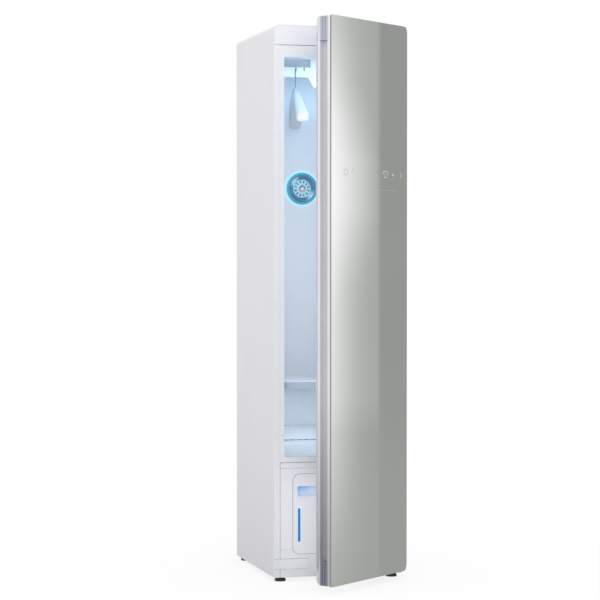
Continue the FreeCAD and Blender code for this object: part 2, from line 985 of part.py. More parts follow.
def fan_rotor():
    """Axial rotor: a cup hub with pitched blades."""
    y1 = front_y + cavity_depth + liner_wall + seat_gap + shroud_depth - fan_motor_length - 1
    y0 = y1 - rotor_thickness
    hub = rod_y(fan_motor_radius, 0, y0, y1, fan_z)
    blades = []
    for index in range(fan_blades):
        root = blade_section(y0, y1, 8, fan_z + 10)
        tip = blade_section(y0 + 3, y1 - 4, 12, fan_z + rotor_radius)
        blade = Part.makeLoft([root, tip], True, True)
        blade.rotate(V(0, y0, fan_z), AXIS_Y, index * 360 / fan_blades)
        blades.append(blade)
    bore = rod_y(shaft_radius + shaft_fit, 0, y0 - 1, y1 + 1, fan_z)
    return fused([hub] + blades).cut(bore)


# ================================================================ rail drive
def guide_rods():
    """Two steel rods that the rail carriage slides on."""
    rods = []
    for side in (-1, 1):
        y = front_y + rail_y + side * rod_spacing / 2
        rods.append(rod_x(rod_radius, -rod_length / 2, rod_length / 2, y, rod_level))
    return Part.makeCompound(rods)


def rod_brackets():
    """Two pillow blocks that stand on the roof moulding and hold the rods."""
    blocks = []
    y = front_y + rail_y
    reach = carriage_width / 2
    low = ceiling_z + roof_sheet
    for side in (-1, 1):
        x0 = min(side * (rod_length / 2 - bracket_length), side * rod_length / 2)
        x1 = x0 + bracket_length
        foot = box(x0 - 5, x1 + 5, y - reach - 4, y + reach + 4, low, low + bracket_foot)
        cheek = rounded_block_z(x0, x1, y - reach, y + reach, low, rod_level + rod_radius + 3, 2)
        block = foot.fuse(cheek)
        for row in (-1, 1):
            rod_y_place = y + row * rod_spacing / 2
            block = block.cut(rod_x(rod_radius + rod_fit, x0 - 1, x1 + 1, rod_y_place, rod_level))
        blocks.append(block)
    return Part.makeCompound(blocks)


def hanger_carriage():
    """Sliding block above the roof with the cross slot that the crank pin drives."""
    y = front_y + rail_y
    z0 = rod_level - carriage_height / 2
    z1 = rod_level + carriage_height / 2
    y0 = y - carriage_width / 2
    y1 = y + carriage_width / 2
    end = carriage_half + overcut
    block = box(-carriage_half, carriage_half, y0, y1, z0, z1)
    for row in (-1, 1):
        block = block.cut(rod_x(rod_radius + rod_fit, -end, end, y + row * rod_spacing / 2, rod_level))
    rails = []
    for side in (-1, 1):
        x0 = min(side * yoke_half, side * (yoke_half + yoke_wall))
        rails.append(box(x0, x0 + yoke_wall, y0, y1, z1, z1 + yoke_height))
    return fused([block] + rails)


def hanger_rail():
    """The visible moulded rail: a neck through the roof, a notched bar and a tapered belly."""
    y = front_y + rail_y
    y0 = y - rail_thickness / 2
    y1 = y + rail_thickness / 2
    bar = rounded_block_y(-rail_half, rail_half, y0, y1, rail_bottom, rail_top, rail_corner)
    neck = box(-rail_neck_half, rail_neck_half, y0, y1, rail_top - 12, rod_level - carriage_height / 2)
    belly = front_prism(
        [
            (-belly_half_top, rail_bottom + 2),
            (belly_half_top, rail_bottom + 2),
            (belly_half_bottom, belly_bottom),
            (-belly_half_bottom, belly_bottom),
        ],
        y0,
        y1,
    )
    body = fused([bar, neck, belly])
    notches = []
    for side in (-1, 1):
        for index in range(notch_count):
            x = side * (notch_first + index * notch_pitch)
            cut = box(x - notch_width / 2, x + notch_width / 2, y0 - 1, y1 + 1, notch_floor, rail_top + 5)
            notches.append(cut)
    return body.cut(Part.makeCompound(notches))


def crank():
    """Crank disc on the motor shaft with the pin that works in the cross slot."""
    y = front_y + rail_y
    disc_high = crank_top()
    disc_low = disc_high - crank_disc_height
    pin_low = disc_low - crank_pin_height
    disc = rod_z(crank_disc_radius, 0, y, disc_low, disc_high)
    pin = rod_z(crank_pin_radius, 0, y + rail_stroke, pin_low, disc_low + overcut)
    bore = rod_z(shaker_shaft + shaft_fit, 0, y, disc_low - overcut, disc_high + overcut)
    return disc.fuse(pin).cut(bore)


def crank_top():
    """Height of the crank disc's upper face."""
    slot_top = rod_level + carriage_height / 2 + yoke_height
    return slot_top + crank_pin_lift + crank_pin_height + crank_disc_height


def shaker_motor():
    """Gear motor that hangs in the bridge above the crank, shaft down."""
    y = front_y + rail_y
    z0 = crank_top() + 1 + bridge_sheet
    can = turned_z(
        [
            (0, z0 + 0.1),
            (motor_radius, z0 + 0.1),
            (motor_radius, z0 + motor_height - 3),
            (motor_radius - 3, z0 + motor_height),
            (0, z0 + motor_height),
        ],
        0,
        y,
    )
    shaft = rod_z(shaker_shaft, 0, y, crank_top() - crank_disc_height, z0 + overcut)
    return can.fuse(shaft)


def motor_bridge():
    """Bent steel bridge that carries the motor over the carriage."""
    y = front_y + rail_y
    z1 = crank_top() + 1 + bridge_sheet
    low = ceiling_z + roof_sheet
    half = bridge_half_width
    reach = bridge_half_length
    top = box(-half, half, y - reach, y + reach, z1 - bridge_sheet, z1)
    bore = rod_z(shaker_shaft + 2, 0, y, z1 - bridge_sheet - overcut, z1 + overcut)
    parts = [top.cut(bore)]
    for side in (-1, 1):
        edge = y + side * reach
        inside = edge - side * bridge_sheet
        outside = edge + side * bridge_foot
        leg = box(-half, half, min(edge, inside), max(edge, inside), low, z1)
        foot = box(-half, half, min(inside, outside), max(inside, outside), low, low + bridge_sheet)
        parts += [leg, foot]
    return fused(parts)


# ================================================================ garment hanger
def hanger_x():
    """Middle of the notch that the hanger hangs in."""
    return -(notch_first + hanger_notch * notch_pitch)


def hook_centre_z():
    """Height of the hook's bend centre when the wire lies on the edges of the notch."""
    half = rail_thickness / 2
    rise = math.sqrt(hook_radius**2 - half**2)
    edge_drop = wire_radius * hook_radius / rise
    return notch_floor + seat_gap - rise + edge_drop


def turned_hanger(shape):
    """Carry a shape from the middle plane to the hanger's notch and turn it a little."""
    placed = shape.copy()
    placed.translate(V(hanger_x(), front_y + rail_y, 0))
    placed.rotate(V(hanger_x(), front_y + rail_y, 0), AXIS_Z, hanger_turn)
    return placed


def hanger_hook():
    """Bent wire hook: a loop over the rail that leads back to the middle below it."""
    z = hook_centre_z()
    r = hook_radius
    tip = V(0, r, z - 9)
    loop = Part.Wire(
        [
            Part.makeLine(tip, V(0, r, z)),
            Part.Arc(V(0, r, z), V(0, 0, z + r), V(0, -r, z)).toShape(),
        ]
    )
    neck_points = [
        V(0, -r, z),
        V(0, -r, rail_bottom - 4),
        V(0, 0, rail_bottom - 22),
        V(0, 0, hanger_neck_z - 14),
    ]
    leg = rounded_path(neck_points, 7)
    path = Part.Wire(loop.OrderedEdges + leg.OrderedEdges)
    ball = Part.makeSphere(wire_radius + 1.2, tip)
    return turned_hanger(tube_along(path, wire_radius).fuse(ball))


def arm_section(share, side, reach, scale):
    """Rounded cross-section of a shoulder arm at a share of its length, scaled about its middle.

    Both arms bow towards the same side, as the shoulders of a garment do.
    """
    width = neck_section[0] + (tip_section[0] - neck_section[0]) * share**1.3
    height = neck_section[1] + (tip_section[1] - neck_section[1]) * share
    x = arm_bow * share**2
    y = side * reach
    z = hanger_neck_z - 4 - arm_drop * share**1.35 - height / 2
    half_x = scale * width / 2
    half_z = scale * height / 2
    radius = min(half_x, half_z) * 0.8
    return rounded_outline(
        (x - half_x, z - half_z), (x + half_x, z + half_z), radius, lambda u, v: V(u, y, v)
    )


def arm_stations():
    """Share of the length, reach and scale of an arm's sections, from the middle to its end.

    The last sections shrink along a quarter circle and round the end.
    """
    stations = []
    for index in range(arm_sections):
        share = index / (arm_sections - 1)
        stations.append((share, arm_reach * share, 1))
    for index in range(1, tip_steps + 1):
        angle = math.radians(index * tip_sweep / tip_steps)
        reach = arm_reach + tip_round * math.sin(angle)
        stations.append((1, reach, 1 - tip_shrink * (1 - math.cos(angle))))
    return stations


def shoulders():
    """Both arms in one piece, from one rounded end to the other."""
    stations = arm_stations()
    wires = [arm_section(share, -1, reach, scale) for share, reach, scale in reversed(stations[1:])]
    wires += [arm_section(share, 1, reach, scale) for share, reach, scale in stations]
    return Part.makeLoft(wires, True, True)


def hanger_body():
    """Moulded hanger with two broad shoulders that widen and fall towards their rounded ends."""
    collar = turned_z(
        [
            (wire_radius + shaft_fit, hanger_neck_z - collar_height),
            (collar_radius, hanger_neck_z - collar_height),
            (collar_radius, hanger_neck_z - 4),
            (5, hanger_neck_z),
            (wire_radius + shaft_fit, hanger_neck_z),
        ],
        0,
        0,
    )
    socket = rod_z(wire_radius + shaft_fit, 0, 0, hanger_neck_z - collar_height, hanger_neck_z + 2)
    body = shoulders().fuse(collar).cut(socket)
    return turned_hanger(body)


# ================================================================ shelf
def shelf():
    """Lift-off shelf: a slotted tray with a raised rim and a grip slot at the front."""
    y0 = front_y + shelf_front
    y1 = front_y + shelf_back
    tray = rounded_block_z(-shelf_half, shelf_half, y0, y1, rim_bottom, rim_top, shelf_corner)
    x = shelf_half - rim_wall
    corner = shelf_corner - rim_wall
    above = rounded_block_z(-x, x, y0 + rim_wall, y1 - rim_wall, shelf_top, rim_top + overcut, corner)
    under = shelf_top - shelf_plate
    below = rounded_block_z(-x, x, y0 + rim_wall, y1 - rim_wall, rim_bottom - overcut, under, corner)
    tray = tray.cut(above).cut(below)
    cuts = []
    grip_y = y0 + rim_wall + grip_slot_inset
    grip_back = grip_y + grip_slot_width
    cuts.append(rounded_block_z(-grip_slot_half, grip_slot_half, grip_y, grip_back, rim_bottom, rim_top, 6))
    first_y = grip_y + grip_slot_width + 18
    pitch = (y1 - rim_wall - 14 - first_y) / steam_slots
    for index in range(steam_slots):
        y = first_y + index * pitch
        for side in (-1, 1):
            x0 = min(side * 8, side * steam_slot_half)
            x1 = max(side * 8, side * steam_slot_half)
            cuts.append(rounded_block_z(x0, x1, y, y + steam_slot_width, rim_bottom, rim_top, 5.9))
    return tray.cut(Part.makeCompound(cuts))


# ================================================================ lint filter
def lint_filter():
    """Lift-out filter: a frame with mesh bars, a basket and a finger bridge."""
    x = filter_half_x
    y = filter_half_y
    lip = filter_flange
    wall = filter_wall
    flange = rounded_block_z(-x - lip, x + lip, -y - lip, y + lip, seat_gap, seat_gap + wall, 6)
    basket = box(-x, x, -y, y, -filter_depth, seat_gap + overcut)
    hollow = box(-x + wall, x - wall, -y + wall, y - wall, -filter_depth + wall, 9)
    body = flange.fuse(basket).cut(hollow)
    windows = []
    span = 2 * x - 16
    for index in range(filter_windows):
        u = -x + 8 + index * (span + 3.5) / filter_windows
        windows.append(box(u, u + (span - 14) / filter_windows, -y - 1, y + 1, -filter_depth + 8, -10))
    body = body.cut(Part.makeCompound(windows))
    half = bridge_width / 2
    bridge = rod_x(bridge_radius, -half, half, 0, seat_gap - 4)
    bridge = bridge.cut(rod_x(bridge_radius - 4, -half - overcut, half + overcut, 0, seat_gap - 4))
    bridge = bridge.common(box(-half, half, -bridge_radius, bridge_radius, seat_gap, bridge_radius))
    bar = box(-half, half, -y + 1, y - 1, seat_gap - 2, seat_gap + 1.5)
    return on_floor(fused([body, bar, bridge]))


# ================================================================ lower front
def tank_outline(side, grow, y0, y1):
    """Front outline of one tank as a block, grown by a clearance."""
    x0 = min(side * tank_outer, side * tank_inner)
    x1 = max(side * tank_outer, side * tank_inner)
    return rounded_block_y(
        x0 - grow, x1 + grow, y0, y1, tank_bottom - grow, tank_top + grow, tank_corner + grow
    )


def tank_cuts():
    """Openings for both tanks in the front panels."""
    y0 = front_y - 5
    y1 = front_y + 30
    return Part.makeCompound([tank_outline(side, tank_gap, y0, y1) for side in (-1, 1)])


def panel_half():
    """Half width of the front panels between the case flanges."""
    return half_width - flange_width - seat_gap


def trim_strip():
    """Narrow strip between the cavity sill and the tank panel."""
    half = panel_half()
    y0 = front_y + panel_setback
    return box(-half, half, y0, y0 + frame_plate, strip_bottom + seam / 2, sill_bottom - seam / 2)


def lower_panel():
    """Panel round the tanks, down to the base skirt."""
    half = panel_half()
    y0 = front_y + panel_setback
    plate = box(-half, half, y0, y0 + frame_plate, skirt_top + seam / 2, strip_bottom - seam / 2)
    return plate.cut(tank_cuts())


def base_skirt():
    """Base strip below the tank panel, turned back along its lower edge."""
    half = panel_half()
    y0 = front_y + panel_setback
    plate = box(-half, half, y0, y0 + frame_plate, body_bottom + pan_upstand + 0.5, skirt_top - seam / 2)
    nose = box(-half, half, y0, y0 + 0.8, body_bottom, body_bottom + pan_upstand + 2)
    return plate.fuse(nose).cut(tank_cuts()).removeSplitter()


def tank_bay():
    """Moulded double bay that the tanks slide into."""
    half = tank_outer + tank_gap + bay_wall
    y0 = front_y + panel_setback + frame_plate + seat_gap
    y1 = front_y + tank_depth + 8
    low = tank_bottom - seat_gap - bay_wall
    high = tank_top + tank_gap + bay_wall
    block = box(-half, half, y0, y1, low, high)
    for side in (-1, 1):
        x0 = min(side * (tank_outer + tank_gap), side * (tank_inner - tank_gap))
        x1 = max(side * (tank_outer + tank_gap), side * (tank_inner - tank_gap))
        block = block.cut(box(x0, x1, y0 - 1, y1 - bay_wall, tank_bottom - seat_gap, tank_top + tank_gap))
    return block


def tank_shell(side):
    """Hollow water tank, stepped back behind the finger recess, with a filler hole on top.

    Its level window is a raised field that fills the opening of the front plate.
    """
    x0 = min(side * (tank_outer - shell_inset), side * (tank_inner + shell_inset))
    x1 = max(side * (tank_outer - shell_inset), side * (tank_inner + shell_inset))
    y0 = front_y + panel_setback + tank_front_plate
    y1 = front_y + tank_depth
    z0 = tank_bottom
    z1 = tank_top - shell_inset
    wall = tank_wall
    step_low = handle_bottom - handle_wall - seam
    step_high = handle_top + handle_wall + seam
    step_back = y0 + handle_depth + handle_wall
    shell = rounded_block_y(x0, x1, y0, y1, z0, z1, shell_corner)
    hollow = rounded_block_y(
        x0 + wall, x1 - wall, y0 + wall, y1 - wall, z0 + wall, z1 - wall, shell_corner - wall
    )
    step = box(x0 - overcut, x1 + overcut, y0 - overcut, step_back, step_low, step_high)
    step_wall = box(x0, x1, y0, step_back + wall, step_low - wall, step_high + wall)
    filler_y = y1 - 3 * filler_radius
    filler = rod_z(filler_radius, (x0 + x1) / 2, filler_y, z1 - wall - overcut, z1 + overcut)
    window = level_window(side, window_fit, y0 - tank_front_plate + window_fit, y0 + overcut)
    return shell.cut(hollow.cut(step_wall)).cut(step).cut(filler).fuse(window)


def level_window(side, shrink, y0, y1):
    """Upright rounded slot of the water level, made smaller all round by a clearance."""
    x0 = min(side * window_outer, side * window_inner) + shrink
    x1 = max(side * window_outer, side * window_inner) - shrink
    radius = (window_outer - window_inner) / 2 - 0.7 - shrink
    return rounded_block_y(x0, x1, y0, y1, window_bottom + shrink, window_top - shrink, radius)


def tank_front(side):
    """Front plate of a tank with the finger recess and the level window opening."""
    y0 = front_y + panel_setback
    y1 = y0 + tank_front_plate
    wall = handle_wall
    plate = tank_outline(side, 0, y0, y1)
    x0 = min(side * handle_outer, side * handle_inner)
    x1 = max(side * handle_outer, side * handle_inner)
    z0 = handle_bottom
    z1 = handle_top
    cup = rounded_block_y(x0 - wall, x1 + wall, y0 + 1, y0 + handle_depth + wall, z0 - wall, z1 + wall, 9)
    hollow = rounded_block_y(x0, x1, y0 - overcut, y0 + handle_depth, z0, z1, 6)
    window = level_window(side, 0, y0 - overcut, y1 + overcut)
    return plate.fuse(cup).cut(hollow).cut(window).removeSplitter()


# ================================================================ corner plates and hinges
def corner_plate():
    """White plate that ties the base corner together, with a small tab below."""
    x0 = -half_width - plate_sheet
    y0 = front_y - plate_sheet - plate_gap
    face = rounded_block_y(x0, -plate_reach, y0, y0 + plate_sheet, plate_low, plate_high, 1.5)
    wrap = box(x0, x0 + plate_sheet - plate_gap, y0, front_y + plate_wrap, plate_low, plate_high)
    tab_x = -half_width + tab_offset
    tab = front_prism(
        [
            (tab_x, plate_low + 2),
            (tab_x + tab_width, plate_low + 2),
            (tab_x + tab_width, plate_low),
            (tab_x + tab_width - 4, plate_low - tab_drop),
            (tab_x + 4, plate_low - tab_drop),
            (tab_x, plate_low),
        ],
        y0,
        y0 + plate_sheet,
    )
    return fused([face, wrap, tab])


def hinge_arm(z0, z1, root_y):
    """Tapered arm in plan from the front plane to the hinge pin."""
    r = arm_tip_radius
    tip = Part.makeCylinder(r, z1 - z0, V(pin_x, pin_y, z0), AXIS_Z)
    blade = plan_prism(
        [
            (pin_x - r * 0.94, pin_y + r * 0.34),
            (pin_x - arm_root, root_y),
            (pin_x - 6, root_y),
            (pin_x + r * 0.94, pin_y + r * 0.34),
            (pin_x, pin_y),
        ],
        z0,
        z1,
    )
    return tip.fuse(blade)


def lower_hinge():
    """Mirrored corner plate with the arm and the pin of the lower hinge."""
    y_back = front_y - plate_gap
    arm_low = frame_bottom + 3.5
    arm_high = arm_low + arm_sheet
    arm = hinge_arm(arm_low, arm_high, y_back)
    web = box(pin_x - arm_root, pin_x - 6, y_back - plate_sheet, y_back, arm_low, plate_low + 4)
    pin = rod_z(pin_radius, pin_x, pin_y, arm_low + 1, frame_bottom + notch_height + bush_length - 3)
    plate = mirrored_x(corner_plate())
    return fused([plate, arm, web, pin])


def upper_hinge():
    """Bent plate on the fascia with an arm into the top of the door and a pin down."""
    y_back = front_y - plate_gap
    arm_low = frame_top - notch_height + 3
    arm_high = arm_low + arm_sheet
    arm = hinge_arm(arm_low, arm_high, y_back)
    middle = pin_x - 10.5
    plate = rounded_block_y(
        middle - hinge_plate_half,
        middle + hinge_plate_half,
        y_back - hinge_plate_sheet,
        y_back,
        arm_low - hinge_plate_height,
        arm_high,
        1.9,
    )
    pin = rod_z(pin_radius, pin_x, pin_y, frame_top - notch_height - bush_length + 3, arm_high - 1)
    return fused([plate, arm, pin])


# ================================================================ door, drawn closed
def door_y(back):
    """Y of a depth measured from the cabinet's front plane towards the viewer."""
    return front_y - back


def swung(shape):
    """Turn a door piece from its closed place to the shown opening."""
    turned = shape.copy()
    turned.rotate(V(pin_x, pin_y, 0), AXIS_Z, door_angle)
    return turned


def door_glass():
    """Tempered glass front with two large and two small corner radii."""
    y0 = door_y(door_thickness)
    y1 = door_y(door_thickness - glass_sheet)
    big = glass_corner_hinge
    small = glass_corner_free
    kb = big * (1 - math.sqrt(0.5))
    ks = small * (1 - math.sqrt(0.5))
    x = door_half
    low = glass_bottom
    high = glass_top
    edges = [
        Part.makeLine(V(-x + small, y0, low), V(x - big, y0, low)),
        Part.Arc(V(x - big, y0, low), V(x - kb, y0, low + kb), V(x, y0, low + big)).toShape(),
        Part.makeLine(V(x, y0, low + big), V(x, y0, high - big)),
        Part.Arc(V(x, y0, high - big), V(x - kb, y0, high - kb), V(x - big, y0, high)).toShape(),
        Part.makeLine(V(x - big, y0, high), V(-x + small, y0, high)),
        Part.Arc(V(-x + small, y0, high), V(-x + ks, y0, high - ks), V(-x, y0, high - small)).toShape(),
        Part.makeLine(V(-x, y0, high - small), V(-x, y0, low + small)),
        Part.Arc(V(-x, y0, low + small), V(-x + ks, y0, low + ks), V(-x + small, y0, low)).toShape(),
    ]
    return swung(Part.Face(Part.Wire(edges)).extrude(V(0, y1 - y0, 0)))


def display_recess(grow, y0, depth):
    """The space of the display tray behind the glass, grown by a wall or a clearance."""
    return box(
        -display_half - grow, display_half + grow, y0, y0 + depth, display_low - grow, display_high + grow
    )


def door_frame():
    """Door frame behind the glass, with the grip channel along the free edge."""
    y_glass = door_y(door_thickness - glass_sheet)
    y_lip = door_y(channel_front_back)
    y_back = door_y(channel_rear_back + seat_gap)
    inner_x = -door_half + channel_depth
    outline = [
        (-door_half, y_glass),
        (door_half, y_glass),
        (door_half, y_back),
        (inner_x, y_back),
        (inner_x, y_lip),
        (-door_half, y_lip),
    ]
    frame = plan_prism(outline, frame_bottom, frame_top)
    rim_corner = glass_corner_hinge - 2
    rim_left = -door_half - 2 * rim_corner
    rim = rounded_block_y(rim_left, door_half, y_glass - 1, y_back + 1, frame_bottom, frame_top, rim_corner)
    frame = frame.common(rim).cut(core_space(0, y_back + 5))
    y_notch = y_glass + 1.5
    x_end = door_half + overcut
    top_notch = box(notch_left, x_end, y_notch, y_back + 5, frame_top - notch_height, frame_top + 5)
    low_end = frame_bottom + notch_height
    low_notch = box(notch_left, x_end, y_notch, y_back + 5, frame_bottom - 5, low_end)
    frame = frame.cut(top_notch).cut(low_notch)
    tray_wall = display_recess(frame_wall, y_glass, display_depth + frame_wall)
    frame = frame.fuse(tray_wall).cut(display_recess(0, y_glass - 1, display_depth + 1))
    for low in bush_places():
        frame = frame.cut(rod_z(bush_radius, pin_x, pin_y, low - 0.2, low + bush_length + 0.2))
    return swung(frame.removeSplitter())


def core_space(shrink, y_rear):
    """The space of the foam core inside the frame, made smaller all round by shrink."""
    end = notch_height + bush_length + 2 * frame_wall
    return box(
        -door_half + channel_depth + frame_wall + shrink,
        door_half - frame_wall - shrink,
        door_y(door_thickness - glass_sheet) + frame_wall + shrink,
        y_rear,
        frame_bottom + end + shrink,
        frame_top - end - shrink,
    )


def door_foam():
    """Foam core between the frame and the inner liner of the door."""
    y_join = door_y(channel_rear_back)
    core = core_space(seat_gap, y_join)
    behind = box(
        -pan_left + pan_wall + seat_gap,
        pan_right - pan_wall - seat_gap,
        y_join,
        door_y(pan_rear_back + pan_wall + seat_gap),
        pan_bottom + pan_wall + seat_gap,
        pan_top - pan_wall - seat_gap,
    )
    y_glass = door_y(door_thickness - glass_sheet)
    tray = display_recess(frame_wall + seat_gap, y_glass, display_depth + frame_wall + seat_gap)
    return swung(core.fuse(behind).cut(tray))


def control_display():
    """Touch and display board behind the glass, in its tray."""
    y_glass = door_y(door_thickness - glass_sheet)
    return swung(display_recess(-seat_gap, y_glass + 0.1, display_depth - 0.2))


def grip_channel():
    """Lining of the finger channel between the two end caps."""
    y0 = door_y(channel_front_back)
    y1 = door_y(channel_rear_back)
    x0 = -door_half + 0.2
    x1 = -door_half + channel_depth
    t = channel_lining
    low = frame_bottom + cap_length
    high = frame_top - cap_length
    points = [
        (x0, y0),
        (x1, y0),
        (x1, y1),
        (-pan_left, y1),
        (-pan_left, y1 - t),
        (x1 - t, y1 - t),
        (x1 - t, y0 + t),
        (x0, y0 + t),
    ]
    return swung(plan_prism(points, low, high))


def end_cap(low, high, rail_low, rail_high, notch_low, notch_high, corner, upward):
    """Moulded end cap: a ribbed block in the channel and a rail across the back of the door."""
    y_front = door_y(channel_front_back) + 0.1
    y_mid = door_y(channel_rear_back)
    y_rear = door_y(cap_rear_back)
    x0 = -door_half + 0.6
    x1 = -door_half + channel_depth - 0.1
    block = box(x0, x1, y_front, y_mid, low, high)
    grooves = []
    for share in cap_groove_shares:
        y = y_front + (y_mid - y_front) * share
        grooves.append(box(x0 - 1, x0 + 2.5, y - 2.5, y + 2.5, low + 4, high - 4))
    block = block.cut(Part.makeCompound(grooves))
    sign = 1 if upward else -1
    far = high if upward else low
    near = rail_low if upward else rail_high
    depth = y_rear - y_mid
    x_rail = -pan_left
    shoulder = far - sign * corner
    crest = V(x_rail, y_mid + depth * 0.72, far - sign * corner * 0.30)
    edges = [
        Part.makeLine(V(x_rail, y_mid, near), V(x_rail, y_mid, far)),
        Part.Arc(V(x_rail, y_mid, far), crest, V(x_rail, y_rear, shoulder)).toShape(),
        Part.makeLine(V(x_rail, y_rear, shoulder), V(x_rail, y_rear, near)),
        Part.makeLine(V(x_rail, y_rear, near), V(x_rail, y_mid, near)),
    ]
    rail = Part.Face(Part.Wire(edges)).extrude(V(pan_left + pin_x + 12, 0, 0))
    rail = rail.cut(box(notch_left, door_half, y_mid - overcut, y_rear + overcut, notch_low, notch_high))
    return swung(block.fuse(rail).removeSplitter())


def door_top_cap():
    """Upper end cap of the door."""
    low = frame_top - cap_length + seat_gap
    return end_cap(
        low,
        frame_top,
        pan_top + seat_gap,
        frame_top,
        frame_top - notch_height,
        frame_top + overcut,
        cap_corner_top,
        True,
    )


def door_bottom_cap():
    """Lower end cap of the door."""
    high = frame_bottom + cap_length - seat_gap
    return end_cap(
        frame_bottom,
        high,
        frame_bottom,
        pan_bottom - seat_gap,
        frame_bottom - overcut,
        frame_bottom + notch_height,
        cap_corner_bottom,
        False,
    )


def door_liner():
    """Formed inner pan of the door with a raised field that closes the cavity mouth."""
    y_front = door_y(channel_rear_back)
    y_rear = door_y(pan_rear_back)
    y_blank = y_front - 2 * pan_corner
    blank = rounded_block_z(-pan_left, pan_right, y_blank, y_rear, pan_bottom, pan_top, pan_corner)
    pan = blank.cut(box(-door_half, door_half, y_blank - overcut, y_front, frame_bottom, frame_top))
    hollow = box(
        -pan_left + pan_wall,
        pan_right - pan_wall,
        y_front - overcut,
        y_rear - pan_wall,
        pan_bottom + pan_wall,
        pan_top - pan_wall,
    )
    pan = pan.cut(hollow)
    field = liner_field(0, y_rear - 1, y_rear + field_rise)
    inner = liner_field(pan_wall, y_rear - pan_wall - 0.1, y_rear + field_rise - pan_wall)
    return swung(pan.fuse(field).cut(inner).removeSplitter())


def liner_field(shrink, y0, y1):
    """Tapered field of the door liner that reaches a little into the cavity mouth."""
    low = sill_top + field_margin + shrink
    high = lip_bottom - field_margin - shrink
    left = -cavity_half + field_margin - 6 + shrink
    right = cavity_half - field_margin - shrink
    front = rounded_outline((left, low), (right, high), 24, lambda u, v: V(u, y0, v))
    back = rounded_outline(
        (left + field_taper, low + field_taper),
        (right - field_taper, high - field_taper),
        18,
        lambda u, v: V(u, y1, v),
    )
    return Part.makeLoft([front, back], True, True)


def door_gasket():
    """Magnetic seal ring on the door liner, with a hollow bellows section."""
    y0 = door_y(pan_rear_back)
    y1 = door_y(gasket_rear_back)
    left = -pan_left + 3
    right = pin_x + 7.5
    low = pan_bottom + 3
    high = pan_top - 3
    wide = gasket_width
    outer = rounded_block_y(left, right, y0, y1, low, high, 10)
    inner = rounded_block_y(
        left + wide, right - wide, y0 - overcut, y1 + overcut, low + wide, high - wide, 6
    )
    groove_outer = rounded_block_y(left + 7, right - 7, y1 - 1.5, y1 + 1, low + 7, high - 7, 8)
    groove_inner = rounded_block_y(left + 10, right - 10, y1 - 2, y1 + 2, low + 10, high - 10, 7)
    groove = groove_outer.cut(groove_inner)
    return swung(outer.cut(inner).cut(groove))


def bush_places():
    """Lower ends of the two hinge bushes."""
    return [frame_bottom + notch_height, frame_top - notch_height - bush_length]


def hinge_bushes():
    """Two plastic bushes pressed into the door frame for the hinge pins."""
    bushes = []
    for low in bush_places():
        outer = rod_z(bush_radius - bush_fit, pin_x, pin_y, low, low + bush_length)
        bushes.append(outer.cut(rod_z(pin_radius + pin_fit, pin_x, pin_y, low - 1, low + bush_length + 1)))
    return swung(Part.makeCompound(bushes))


# ================================================================ machinery
def deck_rear():
    """Rear edge of the machine deck."""
    return rear_y - rear_sheet - case_wall - 8


def chassis_deck():
    """Deck on four legs that carries the heat exchangers and the boiler."""
    half = half_width - case_wall - 6
    y0 = front_y + deck_front
    y1 = deck_rear()
    top = box(-half, half, y0, y1, deck_z - deck_sheet, deck_z)
    parts = [top]
    for x in (-half, half - deck_leg):
        for y in (y0, y1 - deck_leg - deck_leg_inset):
            parts.append(box(x, x + deck_leg, y, y + deck_leg, body_bottom + pan_sheet, deck_z - 1))
    window = rod_z(10, compressor_x + 30, front_y + compressor_y + 70, deck_z - 9, deck_z + 9)
    return fused(parts).cut(window)


def compressor():
    """Welded steel compressor shell on a foot plate with rubber pads."""
    x = compressor_x
    y = front_y + compressor_y
    low = body_bottom + pan_sheet
    plate_z = low + compressor_pad_height
    half = compressor_foot_half
    foot = rounded_block_z(x - half, x + half, y - 45, y + 45, plate_z, plate_z + 3, 12)
    r = compressor_radius
    z = plate_z + 2
    high = z + compressor_height
    shell = turned_z(
        [
            (0, z),
            (r * 0.62, z),
            (r * 0.9, z + 12),
            (r, z + 32),
            (r, high - 45),
            (r * 0.9, high - 20),
            (r * 0.6, high - 5),
            (0, high),
        ],
        x,
        y,
    )
    pads = []
    for dx in (12 - half, half - 12):
        for dy in (-33, 33):
            pads.append(rod_z(9, x + dx, y + dy, low, plate_z + overcut))
    return fused([shell, foot] + pads)


def fin_pack(y0, y1):
    """Heat exchanger: upright fins on rows of flat tubes, between two end plates."""
    x0 = exchanger_left
    x1 = exchanger_left + exchanger_width
    z0 = deck_z
    z1 = deck_z + exchanger_height
    plates = [box(x0, x0 + 2, y0, y1, z0, z1), box(x1 - 2, x1, y0, y1, z0, z1)]
    pitch = exchanger_width / (fin_count + 1)
    for index in range(fin_count):
        x = x0 + (index + 1) * pitch
        plates.append(box(x - fin_sheet / 2, x + fin_sheet / 2, y0 + 2, y1 - 2, z0 + 4, z1 - 4))
    for row in range(tube_rows):
        z = z0 + exchanger_height * (row + 1) / (tube_rows + 1) - tube_height / 2
        plates.append(box(x0 - 5, x1 + 5, y0 + 8, y1 - 8, z, z + tube_height))
    return fused(plates)


def heat_exchangers():
    """Cold pack that dries the circulating air and warm pack that heats it again."""
    cold_y = front_y + deck_front + 18
    warm_y = cold_y + exchanger_depth + exchanger_gap
    cold = fin_pack(cold_y, cold_y + exchanger_depth)
    warm = fin_pack(warm_y, warm_y + exchanger_depth)
    return Part.makeCompound([cold, warm])


def duct_space(z0, z1):
    """Inside of the upright duct from the blower to the cavity."""
    y = front_y + blower_y
    x0 = blower_x - blower_half + duct_wall
    x1 = blower_x + blower_half - duct_wall
    return box(x0, x1, y + duct_wall, y + blower_radius - duct_wall, z0, z1)


